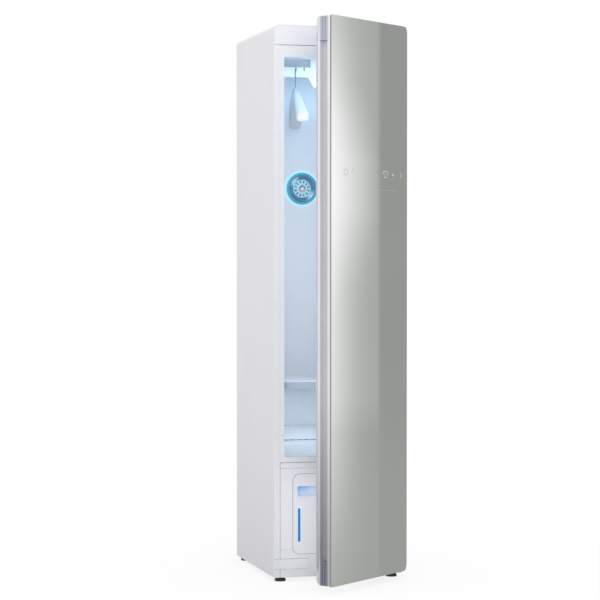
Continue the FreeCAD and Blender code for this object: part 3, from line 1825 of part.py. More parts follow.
def blower_housing():
    """Scroll housing of the circulation blower with its upward outlet."""
    y = front_y + blower_y
    x0 = blower_x - blower_half
    x1 = blower_x + blower_half
    wall = duct_wall
    top = liner_floor_z() - liner_wall - seat_gap
    outer = rod_x(blower_radius, x0, x1, y, blower_z)
    outlet = box(x0, x1, y, y + blower_radius, blower_z, top)
    foot = box(x0, x1, y - 40, y + 40, deck_z, blower_z - 50)
    hollow = rod_x(blower_radius - wall, x0 + wall, x1 - wall, y, blower_z)
    duct = duct_space(blower_z, top + overcut)
    inlet = rod_x(blower_inlet, x1 - wall - overcut, x1 + overcut, y, blower_z)
    shaft_hole = rod_x(blower_shaft + seat_gap, x0 - overcut, x0 + wall + overcut, y, blower_z)
    return fused([outer, outlet, foot]).cut(hollow).cut(duct).cut(inlet).cut(shaft_hole)


def blower_motor():
    """Motor on the side of the scroll with its shaft into the wheel."""
    y = front_y + blower_y
    x0 = blower_x - blower_half
    can = rod_x(blower_motor_radius, x0 - 20, x0 - 0.1, y, blower_z)
    shaft = rod_x(blower_shaft, x0 - 5, x0 + 12, y, blower_z)
    return can.fuse(shaft)


def blower_wheel():
    """Squirrel-cage wheel: back disc, rim and a ring of blades."""
    y = front_y + blower_y
    x0 = blower_x - blower_half + 5
    x1 = blower_x + blower_half - 8
    disc = rod_x(wheel_radius, x0, x0 + 3, y, blower_z)
    rim = rod_x(wheel_radius, x1 - 3, x1, y, blower_z)
    rim = rim.cut(rod_x(wheel_eye, x1 - 3 - overcut, x1 + overcut, y, blower_z))
    hub = rod_x(blower_shaft * 3, x0, x0 + 14, y, blower_z)
    blades = []
    for index in range(wheel_blades):
        low = blower_z + wheel_eye + 1
        blade = box(x0 + 1, x1 - 1, y - 1, y + 1, low, blower_z + wheel_radius - 0.5)
        blade.rotate(V(x0, y, blower_z), AXIS_X, index * 360 / wheel_blades)
        blades.append(blade)
    bore = rod_x(blower_shaft + shaft_fit, x0 - overcut, x0 + 15, y, blower_z)
    return fused([disc, rim, hub] + blades).cut(bore)


def steam_generator():
    """Closed boiler with a lid, a heater dome and a steam nozzle."""
    y = front_y + deck_front + boiler_half + boiler_inset
    x0 = boiler_left
    x1 = boiler_right
    rim = boiler_rim
    half = boiler_half
    lid_z = deck_z + boiler_height
    tank = rounded_block_z(x0, x1, y - half, y + half, deck_z, lid_z, 14)
    lid = rounded_block_z(x0 - rim, x1 + rim, y - half - rim, y + half + rim, lid_z, lid_z + boiler_lid, 16)
    nozzle = rod_z(9, x0 + 30, y, lid_z, lid_z + 35)
    dome = rod_z(26, x1 - 50, y, lid_z, lid_z + 18)
    return fused([tank, lid, nozzle, dome])


def control_box():
    """Folded box of the power electronics, with cooling ribs."""
    y1 = rear_y - box_inset
    y0 = boiler_back + box_gap
    top = deck_z + box_height
    body = rounded_block_z(box_left, box_right, y0, y1, deck_z, top, 4)
    pitch = (box_right - box_left - 16) / box_ribs
    ribs = []
    for index in range(box_ribs):
        x = box_left + 12 + index * pitch
        ribs.append(box(x, x + pitch / 3, y0 + 10, y1 - 10, top - overcut, top + 4))
    return fused([body] + ribs)


def water_pump():
    """Small pump that lifts water from the supply tank to the boiler."""
    low = body_bottom + pan_sheet
    y = front_y + deck_front + 76
    half = pump_foot_half
    base = rounded_block_z(pump_x - half, pump_x + half, y - 25, y + 25, low, low + 6, 5)
    can = rod_z(pump_radius, pump_x, y, low + 5, low + pump_height)
    port = rod_x(6, pump_x, pump_x + pump_radius + 18, y, low + pump_height - 15)
    return fused([base, can, port])


def panel_screws():
    """Screws of the back sheet."""
    screws = []
    x = half_width - 2 * screw_head_radius
    pitch = (body_top - 2 * screw_margin) / (screw_rows - 1)
    for side in (-1, 1):
        for index in range(screw_rows):
            z = screw_margin + index * pitch
            screws.append(rod_y(screw_head_radius, side * x, rear_y + 0.05, rear_y + screw_head_height, z))
    return Part.makeCompound(screws)


# ================================================================ hand over
def all_parts():
    """Every node of the object with its shape."""
    left = -1
    right = 1
    return {
        "outer_case": outer_case(),
        "rear_panel": rear_panel(),
        "base_pan": base_pan(),
        "levelling_feet": levelling_feet(),
        "top_fascia": top_fascia(),
        "inner_liner": inner_liner(),
        "side_insulation": side_insulation(),
        "ceiling_housing": ceiling_housing(),
        "ceiling_lamp": ceiling_lamp(),
        "cavity_floor": cavity_floor(),
        "lint_filter": lint_filter(),
        "fan_bezel": fan_bezel(),
        "fan_light_ring": fan_light_ring(),
        "fan_grille": fan_grille(),
        "fan_shroud": fan_shroud(),
        "fan_motor": fan_motor(),
        "fan_rotor": fan_rotor(),
        "guide_rods": guide_rods(),
        "rod_brackets": rod_brackets(),
        "hanger_carriage": hanger_carriage(),
        "hanger_rail": hanger_rail(),
        "crank": crank(),
        "shaker_motor": shaker_motor(),
        "motor_bridge": motor_bridge(),
        "hanger_hook": hanger_hook(),
        "hanger_body": hanger_body(),
        "shelf": shelf(),
        "trim_strip": trim_strip(),
        "lower_panel": lower_panel(),
        "base_skirt": base_skirt(),
        "tank_bay": tank_bay(),
        "supply_tank": tank_shell(left),
        "supply_tank_front": tank_front(left),
        "drain_tank": tank_shell(right),
        "drain_tank_front": tank_front(right),
        "corner_plate": corner_plate(),
        "lower_hinge": lower_hinge(),
        "upper_hinge": upper_hinge(),
        "door_glass": door_glass(),
        "door_frame": door_frame(),
        "door_foam": door_foam(),
        "control_display": control_display(),
        "grip_channel": grip_channel(),
        "door_top_cap": door_top_cap(),
        "door_bottom_cap": door_bottom_cap(),
        "door_liner": door_liner(),
        "door_gasket": door_gasket(),
        "hinge_bushes": hinge_bushes(),
        "chassis_deck": chassis_deck(),
        "compressor": compressor(),
        "heat_exchangers": heat_exchangers(),
        "blower_housing": blower_housing(),
        "blower_motor": blower_motor(),
        "blower_wheel": blower_wheel(),
        "steam_generator": steam_generator(),
        "control_box": control_box(),
        "water_pump": water_pump(),
        "cord_gland": cord_gland(),
        "panel_screws": panel_screws(),
    }


def main():
    """Build every part and write one STEP file for each."""
    os.makedirs("parts", exist_ok=True)
    for name, shape in all_parts().items():
        shape.exportStep("parts/" + name + ".step")


main()
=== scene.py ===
"""Looks of a clothes care steam cabinet: finishes, fine pieces, studio and camera.

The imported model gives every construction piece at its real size. This script dresses those pieces
with node-based finishes and adds the fine pieces that ride on them: the bellows seal of the door,
the bead round its glass, the touch marks on the glass, the dark joint lines of the front and the
gauze behind the floor's vents. Small lamps light the cavity. Lengths are metres.
"""

import json
import logging
import math
from dataclasses import dataclass, field
from enum import Enum
from typing import Any, Callable

import bmesh
import bpy
import numpy as np
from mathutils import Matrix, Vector


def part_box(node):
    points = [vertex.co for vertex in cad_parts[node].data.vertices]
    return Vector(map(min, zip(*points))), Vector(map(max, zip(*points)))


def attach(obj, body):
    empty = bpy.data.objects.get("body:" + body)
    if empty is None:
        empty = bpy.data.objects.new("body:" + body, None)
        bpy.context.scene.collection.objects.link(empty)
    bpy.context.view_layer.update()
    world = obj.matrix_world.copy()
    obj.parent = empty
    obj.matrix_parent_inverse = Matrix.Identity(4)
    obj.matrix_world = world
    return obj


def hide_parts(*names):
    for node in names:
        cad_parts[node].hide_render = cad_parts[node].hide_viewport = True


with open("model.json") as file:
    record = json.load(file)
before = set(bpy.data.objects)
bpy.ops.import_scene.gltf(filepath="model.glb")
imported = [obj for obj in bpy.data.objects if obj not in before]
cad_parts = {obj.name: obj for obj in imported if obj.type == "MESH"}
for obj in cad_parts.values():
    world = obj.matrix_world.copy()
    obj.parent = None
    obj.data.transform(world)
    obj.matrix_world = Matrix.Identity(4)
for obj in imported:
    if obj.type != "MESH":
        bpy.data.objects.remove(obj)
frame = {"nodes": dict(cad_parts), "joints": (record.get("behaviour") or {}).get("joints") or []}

LOG = logging.getLogger("steam_cabinet")
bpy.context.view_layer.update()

Vec3 = tuple[float, float, float]
Pair = tuple[float, float]
Piece = bpy.types.Object
BLACK: Vec3 = (0.0, 0.0, 0.0)
WHITE: Vec3 = (1.0, 1.0, 1.0)


def srgb(red: int, green: int, blue: int) -> Vec3:
    """The linear colour, each channel from 0 to 1, of an eight-bit screen colour.

    Args:
        red: Red level, 0 to 255.
        green: Green level.
        blue: Blue level.

    Returns:
        The colour as red, green and blue.
    """
    channels = np.array((red, green, blue)) / 255.0
    linear = np.where(channels <= 0.04045, channels / 12.92, ((channels + 0.055) / 1.055) ** 2.4)
    return tuple(float(c) for c in linear)


def toned(colour: Vec3, share: float) -> Vec3:
    """A colour times a share, each channel at most 1."""
    return tuple(min(1.0, channel * share) for channel in colour)


# ---------- shader arithmetic
def operator(kind: str, reflected: bool = False) -> Callable[..., "Wire"]:
    """An operator of Wire that adds one Math node.

    Args:
        kind: Blender's name of the operation.
        reflected: Whether the other value comes first.

    Returns:
        The method; an operation on one value leaves the other out.
    """

    def method(self: "Wire", other: Any = 0.0) -> "Wire":
        """Add the node and give its value."""
        ends = {0: other, 1: self} if reflected else {0: self, 1: other}
        return self.graph.node("ShaderNodeMath", {"operation": kind}, ends)

    return method


class Wire:
    """One value in a shader graph that takes part in Python arithmetic."""

    __add__ = __radd__ = operator("ADD")
    __sub__ = operator("SUBTRACT")
    __rsub__ = operator("SUBTRACT", reflected=True)
    __mul__ = __rmul__ = operator("MULTIPLY")
    __truediv__ = operator("DIVIDE")
    __pow__ = operator("POWER")
    __gt__ = operator("GREATER_THAN")
    __lt__ = operator("LESS_THAN")
    absolute = operator("ABSOLUTE")
    sine = operator("SINE")

    def __init__(self, graph: "Graph", socket: Any) -> None:
        """Keep the graph and the socket that gives the value."""
        self.graph = graph
        self.socket = socket

    def clamped(self) -> "Wire":
        """This value kept between 0 and 1."""
        settings = {"operation": "ADD", "use_clamp": True}
        return self.graph.node("ShaderNodeMath", settings, {0: self, 1: 0.0})

    def between(self, low: float, high: float) -> "Wire":
        """1 where this value lies between two limits, else 0."""
        return (self > low) * (self < high)

    def ramp(self, low: float, high: float) -> "Wire":
        """A straight rise from 0 at low to 1 at high, kept between 0 and 1."""
        return ((self - low) / (high - low)).clamped()


class Graph:
    """The node tree of one material, with one way to add any node."""

    def __init__(self, name: str) -> None:
        """Make a material and empty its tree.

        Args:
            name: Name of the material.
        """
        self.material = bpy.data.materials.new(name)
        self.material.use_nodes = True
        self.tree = self.material.node_tree
        self.tree.nodes.clear()

    def node(
        self, kind: str, settings: dict | None = None, inputs: dict | None = None, output: Any = 0
    ) -> Wire:
        """Add a node, set it up and feed its sockets.

        Args:
            kind: Blender's name of the node type.
            settings: Properties of the node, and "stops" for a colour ramp.
            inputs: Socket name or number to a value or a Wire.
            output: Name or number of the output that is wanted.

        Returns:
            The wanted output as a Wire; an output node gives an empty one.
        """
        made = self.tree.nodes.new(kind)
        for key, value in (settings or {}).items():
            if key == "stops":
                self._set_stops(made.color_ramp, value)
            else:
                setattr(made, key, value)
        for key, value in (inputs or {}).items():
            if isinstance(value, Wire):
                self.tree.links.new(value.socket, made.inputs[key])
            else:
                socket = made.inputs[key]
                short = isinstance(value, tuple) and len(socket.default_value) > len(value)
                socket.default_value = (*value, 1.0) if short else value
        return Wire(self, made.outputs[output]) if len(made.outputs) else Wire(self, None)

    @staticmethod
    def _set_stops(ramp: Any, stops: list[tuple[float, Vec3]]) -> None:
        """Give a colour ramp its stops as (place, colour) pairs.

        Args:
            ramp: The node's colour ramp.
            stops: Places from 0 to 1, each with its colour.
        """
        while len(ramp.elements) < len(stops):
            ramp.elements.new(0.5)
        for element, (place, colour) in zip(ramp.elements, stops):
            element.position = place
            element.color = (*colour, 1.0)

    def place(self, turn: Vec3 = (0, 0, 0), centre: Vec3 = (0, 0, 0)) -> Wire:
        """Object coordinates about a centre, turned by angles in radians.

        Args:
            turn: Turn about X, Y and Z, after the centre is taken away.
            centre: The point that becomes the origin.

        Returns:
            The coordinates as a vector Wire.
        """
        moved = self.vector("SUBTRACT", self.node("ShaderNodeTexCoord", output="Object"), centre)
        if turn == (0, 0, 0):
            return moved
        inputs = {"Vector": moved, "Rotation": turn}
        return self.node("ShaderNodeMapping", {"vector_type": "POINT"}, inputs)

    def vector(self, operation: str, first: Wire, second: Any, socket: Any = 1) -> Wire:
        """Add one Vector Math node; a scale goes to its own socket."""
        return self.node("ShaderNodeVectorMath", {"operation": operation}, {0: first, socket: second})

    def axes(self, vector: Wire) -> tuple[Wire, Wire, Wire]:
        """Split a vector into its three values."""
        split = self.node("ShaderNodeSeparateXYZ", None, {0: vector}).socket.node
        return tuple(Wire(self, socket) for socket in split.outputs)

    def noise(
        self, vector: Wire, scale: float, detail: float = 2.0, stretch: Vec3 = (1, 1, 1)
    ) -> Wire:
        """Smooth noise about 0.5 on a vector, stretched along the axes.

        Args:
            vector: Where the noise is read.
            scale: Its fineness.
            detail: Its number of finer layers.
            stretch: What each axis is multiplied by first.

        Returns:
            The noise as a value.
        """
        stretched = self.vector("MULTIPLY", vector, stretch)
        inputs = {"Vector": stretched, "Scale": scale, "Detail": detail}
        return self.node("ShaderNodeTexNoise", None, inputs, "Fac")

    def mix(self, share: Any, first: Any, second: Any) -> Wire:
        """Mix two colours by a share from 0 to 1."""
        return self.node("ShaderNodeMix", {"data_type": "RGBA"}, {0: share, 6: first, 7: second}, 2)

    def bump(self, height: Wire, depth: float) -> Wire:
        """Normals from a height that spans about 0 to 1, depth metres deep."""
        inputs = {"Height": height, "Strength": 1.0, "Distance": depth}
        return self.node("ShaderNodeBump", None, inputs, "Normal")

    def grain(
        self, vector: Wire, scale: float, depth: float, detail: float = 2.0, stretch: Vec3 = (1, 1, 1)
    ) -> Wire:
        """Normals from smooth noise, depth metres deep."""
        return self.bump(self.noise(vector, scale, detail, stretch), depth)

    def surface(self, inputs: dict) -> None:
        """Add the surface shader with constants on its own sockets, and put it out."""
        self.output(self.node("ShaderNodeBsdfPrincipled", None, inputs, "BSDF"))

    def output(self, shader: Wire) -> None:
        """Connect a shader to the material's output."""
        self.node("ShaderNodeOutputMaterial", None, {"Surface": shader})


class Coating:
    """Base of all finishes: makes the material from the sockets that a finish feeds."""

    name: str

    def material(self) -> bpy.types.Material:
        """Make the material of this finish.

        Returns:
            The new material.
        """
        graph = Graph(self.name)
        graph.surface(self.skin(graph, graph.place()))
        return graph.material

    def skin(self, graph: Graph, place: Wire) -> dict:
        """Sockets of the surface shader that this finish feeds.

        Args:
            graph: The material's graph.
            place: Object coordinates.

        Returns:
            Socket name to value or Wire.
        """
        raise NotImplementedError


class Relief(Enum):
    """How the skin of a finish is broken up: the noise's scale and stretch, and the bump's depth.

    A turned skin has rings about the fan's axis instead; its scale is their rate.
    """

    ORANGE_PEEL = (420.0, (1, 1, 1), 0.00005)
    MOULD_GRAIN = (1700.0, (1, 1, 1), 0.00003)
    BRUSHED_UP = (900.0, (1, 1, 0.02), 0.000015)
    BRUSHED_ALONG = (900.0, (0.02, 1, 1), 0.000015)
    TURNED = (9000.0, (1, 1, 1), 0.000006)
    SPANGLE = (160.0, (1, 1, 1), 0.00001)
    FIBRE = (900.0, (1, 0.35, 0.35), 0.0006)
    CAST = (600.0, (1, 1, 1), 0.0001)
    POLISHED = (25.0, (1, 1, 1), 0.00001)


@dataclass(frozen=True)
class Finish(Coating):
    """A finish with a base colour, a relief, soft mottling and faint handling marks.

    Slow noise takes the colour from the base less the mottling's share of it to the base plus that
    share. The roughness is the base plus the smudging times wider noise. The relief is fine noise
    as a bump. The fade is painted shade, two heights and a level: below the first the colour is
    multiplied by the level, and it is whole above the second.
    """

    name: str
    colour: Vec3
    roughness: float
    relief: Relief
    metallic: float = 0.0
    mottle: float = 0.035
    smudge: float = 0.06
    coat: float = 0.0
    coat_roughness: float = 0.12
    specular: float = 0.5
    sheen: float = 0.0
    fade: Vec3 = (0.0, 1.0, 1.0)

    def skin(self, graph: Graph, place: Wire) -> dict:
        """Mottled colour, smudged roughness and the relief's normals.

        Args:
            graph: The material's graph.
            place: Object coordinates.

        Returns:
            Socket name to value or Wire.
        """
        slow = graph.noise(place, scale=7.0, detail=4.0)
        wide = graph.noise(place, scale=19.0, detail=5.0)
        dark, light = toned(self.colour, 1 - self.mottle), toned(self.colour, 1 + self.mottle)
        colour = graph.mix(slow.ramp(low=0.3, high=0.7), dark, light)
        # painted shade: below the fade's first height the colour is darkened by its level
        foot, head, level = self.fade
        if level != 1.0:
            _, _, z = graph.axes(place)
            share = level + (1.0 - level) * z.ramp(foot, head)
            colour = graph.vector("SCALE", colour, share, "Scale")
        inputs = {
            "Base Color": colour,
            "Roughness": (self.roughness + self.smudge * (wide - 0.5)).clamped(),
            "Metallic": self.metallic,
            "Normal": self.bumps(graph, place),
            "Specular IOR Level": self.specular,
        }
        if self.coat:
            inputs["Coat Weight"] = self.coat
            inputs["Coat Roughness"] = self.coat_roughness
        if self.sheen:
            inputs["Sheen Weight"] = self.sheen
        return inputs

    def bumps(self, graph: Graph, place: Wire) -> Wire:
        """Bumped normals of the relief.

        Args:
            graph: The material's graph.
            place: Object coordinates.

        Returns:
            Normals for the surface shader.
        """
        scale, stretch, depth = self.relief.value
        if self.relief is Relief.TURNED:
            _, _, radius = fan_polar(graph, place)
            return graph.bump((radius * scale).sine() * 0.5 + 0.5, depth)
        return graph.grain(place, scale, depth, detail=3.0, stretch=stretch)


# ---------- places taken from the frame
def low(node: str) -> Vec3:
    """Lowest corner of a construction node."""
    return tuple(float(value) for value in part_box(node)[0])


def high(node: str) -> Vec3:
    """Highest corner of a construction node."""
    return tuple(float(value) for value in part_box(node)[1])


def joint(name: str) -> dict:
    """The record of one joint."""
    return next(j for j in frame["joints"] if j["name"] == name)


FRONT_Y = low("outer_case")[1]
FAN_HEIGHT = (low("fan_light_ring")[2] + high("fan_light_ring")[2]) / 2
DOOR_PIN = tuple(joint("door_swing")["pos_m"])
DOOR_ANGLE = math.radians(-joint("door_swing")["range_deg"][0])
DOOR_THICKNESS = 0.066
DOOR_HALF = 0.2215  # half the width of the door's glass


def fan_polar(graph: Graph, place: Wire) -> tuple[Wire, Wire, Wire]:
    """Run and rise from the fan's axis, and the distance from it.

    Args:
        graph: The material's graph.
        place: Object coordinates.

    Returns:
        Run along X, rise along Z and distance.
    """
    x, _, z = graph.axes(place)
    rise = z - FAN_HEIGHT
    return x, rise, (x * x + rise * rise) ** 0.5


def door_axes(graph: Graph) -> tuple[Wire, Wire, Wire]:
    """The three places from the hinge pin, as on the closed door."""
    return graph.axes(graph.place((0, 0, -DOOR_ANGLE), DOOR_PIN))


def swung(points: np.ndarray) -> np.ndarray:
    """Turn points from the closed door's place to the shown opening.

    Args:
        points: Array of (n, 3) points on the closed door.

    Returns:
        The points turned about the hinge pin by the opening angle.
    """
    pin = np.array(DOOR_PIN)
    flat = points - pin
    c, s = math.cos(DOOR_ANGLE), math.sin(DOOR_ANGLE)
    turned = flat.copy()
    turned[:, 0] = c * flat[:, 0] - s * flat[:, 1]
    turned[:, 1] = s * flat[:, 0] + c * flat[:, 1]
    return turned + pin


# ---------- meshes from arrays
def mesh_object(name: str, points: np.ndarray, faces: np.ndarray, smooth: bool = True) -> Piece:
    """Put arrays of points and faces into a new object at the origin.

    Args:
        name: Name of the object and its mesh.
        points: Array of (n, 3) places.
        faces: Array of (m, 3) or (m, 4) point numbers.
        smooth: Whether the faces are shaded smooth.

    Returns:
        The new object, linked to the scene.
    """
    mesh = bpy.data.meshes.new(name)
    mesh.from_pydata(points.tolist(), [], faces.tolist())
    mesh.polygons.foreach_set("use_smooth", np.full(len(mesh.polygons), smooth))
    mesh.update()
    made = bpy.data.objects.new(name, mesh)
    bpy.context.scene.collection.objects.link(made)
    return made


def grid_faces(rows: int, columns: int, wrap_rows: bool, wrap_columns: bool) -> np.ndarray:
    """Quads of a grid of points numbered row by row.

    Args:
        rows: Number of rows of points.
        columns: Number of points in a row.
        wrap_rows: Whether the last row joins the first.
        wrap_columns: Whether the last column joins the first.

    Returns:
        Array of (m, 4) point numbers.
    """
    row = np.arange(rows if wrap_rows else rows - 1)
    column = np.arange(columns if wrap_columns else columns - 1)
    i, j = np.meshgrid(row, column, indexing="ij")
    below, beside = (i + 1) % rows, (j + 1) % columns
    quads = (i * columns + j, i * columns + beside, below * columns + beside, below * columns + j)
    return np.stack(quads, -1).reshape(-1, 4)


def rounded_loop(
    half_u: float, half_v: float, radius: float, arc: int = 9
) -> tuple[np.ndarray, np.ndarray]:
    """Points and outward directions of a rounded rectangle about the origin.

    The loop is four quarter circles: corner centres at the half sizes less the radius, and each
    point is its centre plus the radius times (cos a, sin a) as a runs once round.

    Args:
        half_u: Half width.
        half_v: Half height.
        radius: Corner radius.
        arc: Points on each corner.

    Returns:
        Arrays of (n, 2) points and (n, 2) unit normals.
    """
    corner = np.repeat(np.arange(4), arc)
    angle = corner * (math.pi / 2) + np.tile(np.linspace(0, math.pi / 2, arc), 4)
    normal = np.stack((np.cos(angle), np.sin(angle)), -1)
    sign = np.array(((1, 1), (-1, 1), (-1, -1), (1, -1)))[corner]
    centre = sign * np.array((half_u - radius, half_v - radius))
    return centre + radius * normal, normal


def swept_frame(
    name: str, centre: Pair, half: Pair, radius: float, profile: np.ndarray, on_door: bool = True
) -> Piece:
    """A closed section carried round a rounded rectangle that stands in the XZ plane.

    Each point is the loop's point plus the section's first value along the loop's outward
    direction, at the depth of the section's second value.

    Args:
        name: Name of the new object.
        centre: Middle of the rectangle in X and Z.
        half: Half sizes of the rectangle in X and Z.
        radius: Corner radius.
        profile: Array of (k, 2): outward offset and depth in Y, in order round the section.
        on_door: Whether the rectangle lies on the closed door and is turned with it.

    Returns:
        The new object.
    """
    loop, normal = rounded_loop(half[0], half[1], radius)
    flat = loop[:, None, :] + profile[None, :, :1] * normal[:, None, :]
    points = np.empty((*flat.shape[:2], 3))
    points[..., 0] = centre[0] + flat[..., 0]
    points[..., 1] = profile[None, :, 1]
    points[..., 2] = centre[1] + flat[..., 1]
    faces = grid_faces(len(loop), len(profile), True, True)
    flat_points = points.reshape(-1, 3)
    return mesh_object(name, swung(flat_points) if on_door else flat_points, faces)


def bar(name: str, ends: Pair, outline: np.ndarray) -> Piece:
    """A straight bar along X: the outline's (y, z) points at both ends, joined side by side.

    Args:
        name: Name of the new object.
        ends: Lowest and highest X.
        outline: Array of (4, 2): the bar's corners in Y and Z, in order.

    Returns:
        The new object.
    """
    points = np.array([(x, y, z) for x in ends for y, z in outline])
    faces = np.concatenate((grid_faces(2, len(outline), False, True), [[0, 1, 2, 3], [4, 5, 6, 7]]))
    return outward(mesh_object(name, points, faces, smooth=False))


def block(name: str, lowest: Vec3, highest: Vec3) -> Piece:
    """A box between two corners."""
    (x0, y0, z0), (x1, y1, z1) = lowest, highest
    return bar(name, (x0, x1), np.array(((y0, z0), (y1, z0), (y1, z1), (y0, z1))))


MERGE_DISTANCE = 1e-7


def outward(made: Piece) -> Piece:
    """Turn the faces of a closed new mesh outwards.

    Args:
        made: The new piece.

    Returns:
        The same piece.
    """
    shell = bmesh.new()
    shell.from_mesh(made.data)
    bmesh.ops.remove_doubles(shell, verts=shell.verts, dist=MERGE_DISTANCE)
    bmesh.ops.recalc_face_normals(shell, faces=shell.faces)
    shell.to_mesh(made.data)
    shell.free()
    return made


def ribbon(
    name: str, path: np.ndarray, half: np.ndarray | float, lift: float, closed: bool
) -> Piece:
    """A thin raised line that lies on the closed door's glass.

    Each point of the path gives two edge points, at the path plus and minus the half width times
    the path's normal, both on the glass and at the line's top.

    Args:
        name: Name of the new object.
        path: Array of (n, 2): distance from the door's free edge and height.
        half: Half width, one value or one for each point.
        lift: Thickness of the line.
        closed: Whether the path runs back to its start.

    Returns:
        The new object, turned to the shown opening of the door.
    """
    ahead = np.roll(path, -1, 0) if closed else np.concatenate((path[1:], path[-1:]))
    behind = np.roll(path, 1, 0) if closed else np.concatenate((path[:1], path[:-1]))
    along = (ahead - behind) / np.linalg.norm(ahead - behind, axis=1, keepdims=True)
    normal = np.stack((-along[:, 1], along[:, 0]), -1) * np.broadcast_to(half, len(path))[:, None]
    edges = np.stack((path - normal, path + normal, path + normal, path - normal), 1)
    points = np.empty((len(path), 4, 3))
    points[..., 0] = edges[..., 0] - DOOR_HALF
    points[..., 1] = FRONT_Y - DOOR_THICKNESS - np.array((0.0, 0.0, lift, lift))
    points[..., 2] = edges[..., 1]
    faces = grid_faces(len(path), 4, closed, True)
    if not closed:
        last = 4 * (len(path) - 1)
        faces = np.concatenate((faces, [[0, 1, 2, 3], [last, last + 1, last + 2, last + 3]]))
    return outward(mesh_object(name, swung(points.reshape(-1, 3)), faces, smooth=False))


def arc_path(middle: Pair, radius: float, first: float, last: float, count: int = 41) -> np.ndarray:
    """Points of an arc: middle plus radius times (sin a, cos a), a in radians from the top."""
    angle = np.linspace(first, last, count)
    return np.array(middle) + radius * np.stack((np.sin(angle), np.cos(angle)), -1)


# ---------- finishes of this cabinet
def uneven(
    graph: Graph, place: Wire, base: float, spread: float, scale: float, detail: float = 2.0
) -> Wire:
    """A base value plus the spread times smooth noise."""
    return base + spread * graph.noise(place, scale, detail)


def moulded(name: str, colour: Vec3, roughness: float, **more: Any) -> Finish:
    """A plastic or rubber that has the grain of its mould."""
    return Finish(name, colour, roughness, Relief.MOULD_GRAIN, **more)


# painted shade: the door's frame, grip channel and liner pan are painted darker near the floor
EDGE_PAINTED_SHADE = (0.16, 0.62, 0.62)  # the door's edge is darker near the floor
FRONT_PLASTIC = moulded("front_plastic", srgb(225, 226, 231), 0.38, mottle=0.012)
LINER_PLASTIC = moulded("liner_plastic", srgb(225, 228, 232), 0.34, mottle=0.02)
BEZEL_CHROME = Finish("bezel_chrome", srgb(136, 152, 182), 0.22, Relief.TURNED, metallic=0.8)
CHANNEL_PLASTIC = Finish(
    "channel_plastic", srgb(203, 202, 208), 0.34, Relief.BRUSHED_UP, mottle=0.02, fade=EDGE_PAINTED_SHADE
)
TOP_CAP_PLASTIC = moulded("top_cap_plastic", srgb(168, 172, 183), 0.36, mottle=0.03)
BOTTOM_CAP_PLASTIC = moulded("bottom_cap_plastic", srgb(120, 122, 132), 0.36, mottle=0.03)
# painted shadow: dark strips laid in the front's gaps stand in for the shade inside them
PAINTED_SHADOW_STRIP = moulded("painted_shadow_strip", srgb(92, 94, 100), 0.7, mottle=0.05)
SEAL_RUBBER = moulded("seal_rubber", srgb(200, 204, 214), 0.62, mottle=0.03, sheen=0.1)
GAUZE = Finish("vent_gauze", srgb(196, 208, 222), 0.8, Relief.FIBRE, mottle=0.1)
BEAD_RUBBER = moulded("glazing_bead", srgb(120, 121, 124), 0.55, mottle=0.05)


@dataclass(frozen=True)
class MirrorGlass(Coating):
    """Tinted mirror glass: a silvered back under a clear front.

    The tint is the base colour, faintly clouded by slow noise; wiping marks vary the roughness. The
    ground edge on the free side is dark.
    """

    name: str = "mirror_glass"
    tint: Vec3 = srgb(206, 207, 206)
    clouding: float = 0.97
    roughness: float = 0.045
    wiping: float = 0.03
    waves: float = 0.00012
    edge: Vec3 = srgb(140, 144, 145)
    edge_width: float = 0.0008

    def skin(self, graph: Graph, place: Wire) -> dict:
        """Clouded silver, and the ground edge nearest to the free side.

        Args:
            graph: The material's graph.
            place: Object coordinates.

        Returns:
            Socket name to value or Wire.
        """
        cloud = graph.noise(place, scale=3.0, detail=3.0)
        wiped = graph.noise(place, scale=11.0, detail=5.0, stretch=(1, 1, 0.25))
        across, _, _ = door_axes(graph)
        ground = across < -DOOR_HALF - DOOR_PIN[0] + self.edge_width
        share = cloud.ramp(low=0.35, high=0.65)
        silver = graph.mix(share, toned(self.tint, self.clouding), self.tint)
        return {
            "Base Color": graph.mix(ground, silver, self.edge),
            "Metallic": 1.0,
            "Roughness": (self.roughness + self.wiping * (wiped - 0.5)).clamped(),
            "Coat Weight": 0.35,
            "Coat Roughness": 0.01,
            "Normal": graph.grain(place, scale=2.2, depth=self.waves, detail=1.0),
        }


@dataclass(frozen=True)
class CapPlastic(Coating):
    """Door end cap: a dark ribbed block in the channel and a pale rail along the door's back."""

    name: str
    block: Finish
    rail: Vec3
    rail_depth: float = 0.0225

    def skin(self, graph: Graph, place: Wire) -> dict:
        """The depth behind the closed door's front parts rail and block.

        Args:
            graph: The material's graph.
            place: Object coordinates.

        Returns:
            Socket name to value or Wire.
        """
        _, depth, _ = door_axes(graph)
        inputs = self.block.skin(graph, place)
        back = depth > FRONT_Y - DOOR_PIN[1] - self.rail_depth
        inputs["Base Color"] = graph.mix(back, inputs["Base Color"], self.rail)
        return inputs


@dataclass(frozen=True)
class LightGuide(Coating):
    """Translucent ring that glows cyan inside and nearly white at its rim.

    The inner part sends out its own colour times core_share, and the rim its own.
    """

    name: str = "light_ring"
    core: Vec3 = srgb(66, 150, 172)
    rim: Vec3 = srgb(150, 222, 236)
    rim_radius: float = 0.0568
    blur: float = 0.0015
    core_share: float = 0.55
    glow: float = 0.55

    def skin(self, graph: Graph, place: Wire) -> dict:
        """The distance from the fan's axis picks the colour of the glow.

        Args:
            graph: The material's graph.
            place: Object coordinates.

        Returns:
            Socket name to value or Wire.
        """
        _, _, radius = fan_polar(graph, place)
        share = radius.ramp(self.rim_radius - self.blur, self.rim_radius + self.blur)
        return {
            "Base Color": graph.mix(share, self.core, self.rim),
            "Roughness": uneven(graph, place, base=0.3, spread=0.05, scale=60.0),
            "Emission Color": graph.mix(share, toned(self.core, self.core_share), self.rim),
            "Emission Strength": self.glow,
            "Normal": graph.grain(place, scale=300.0, depth=0.00002),
        }


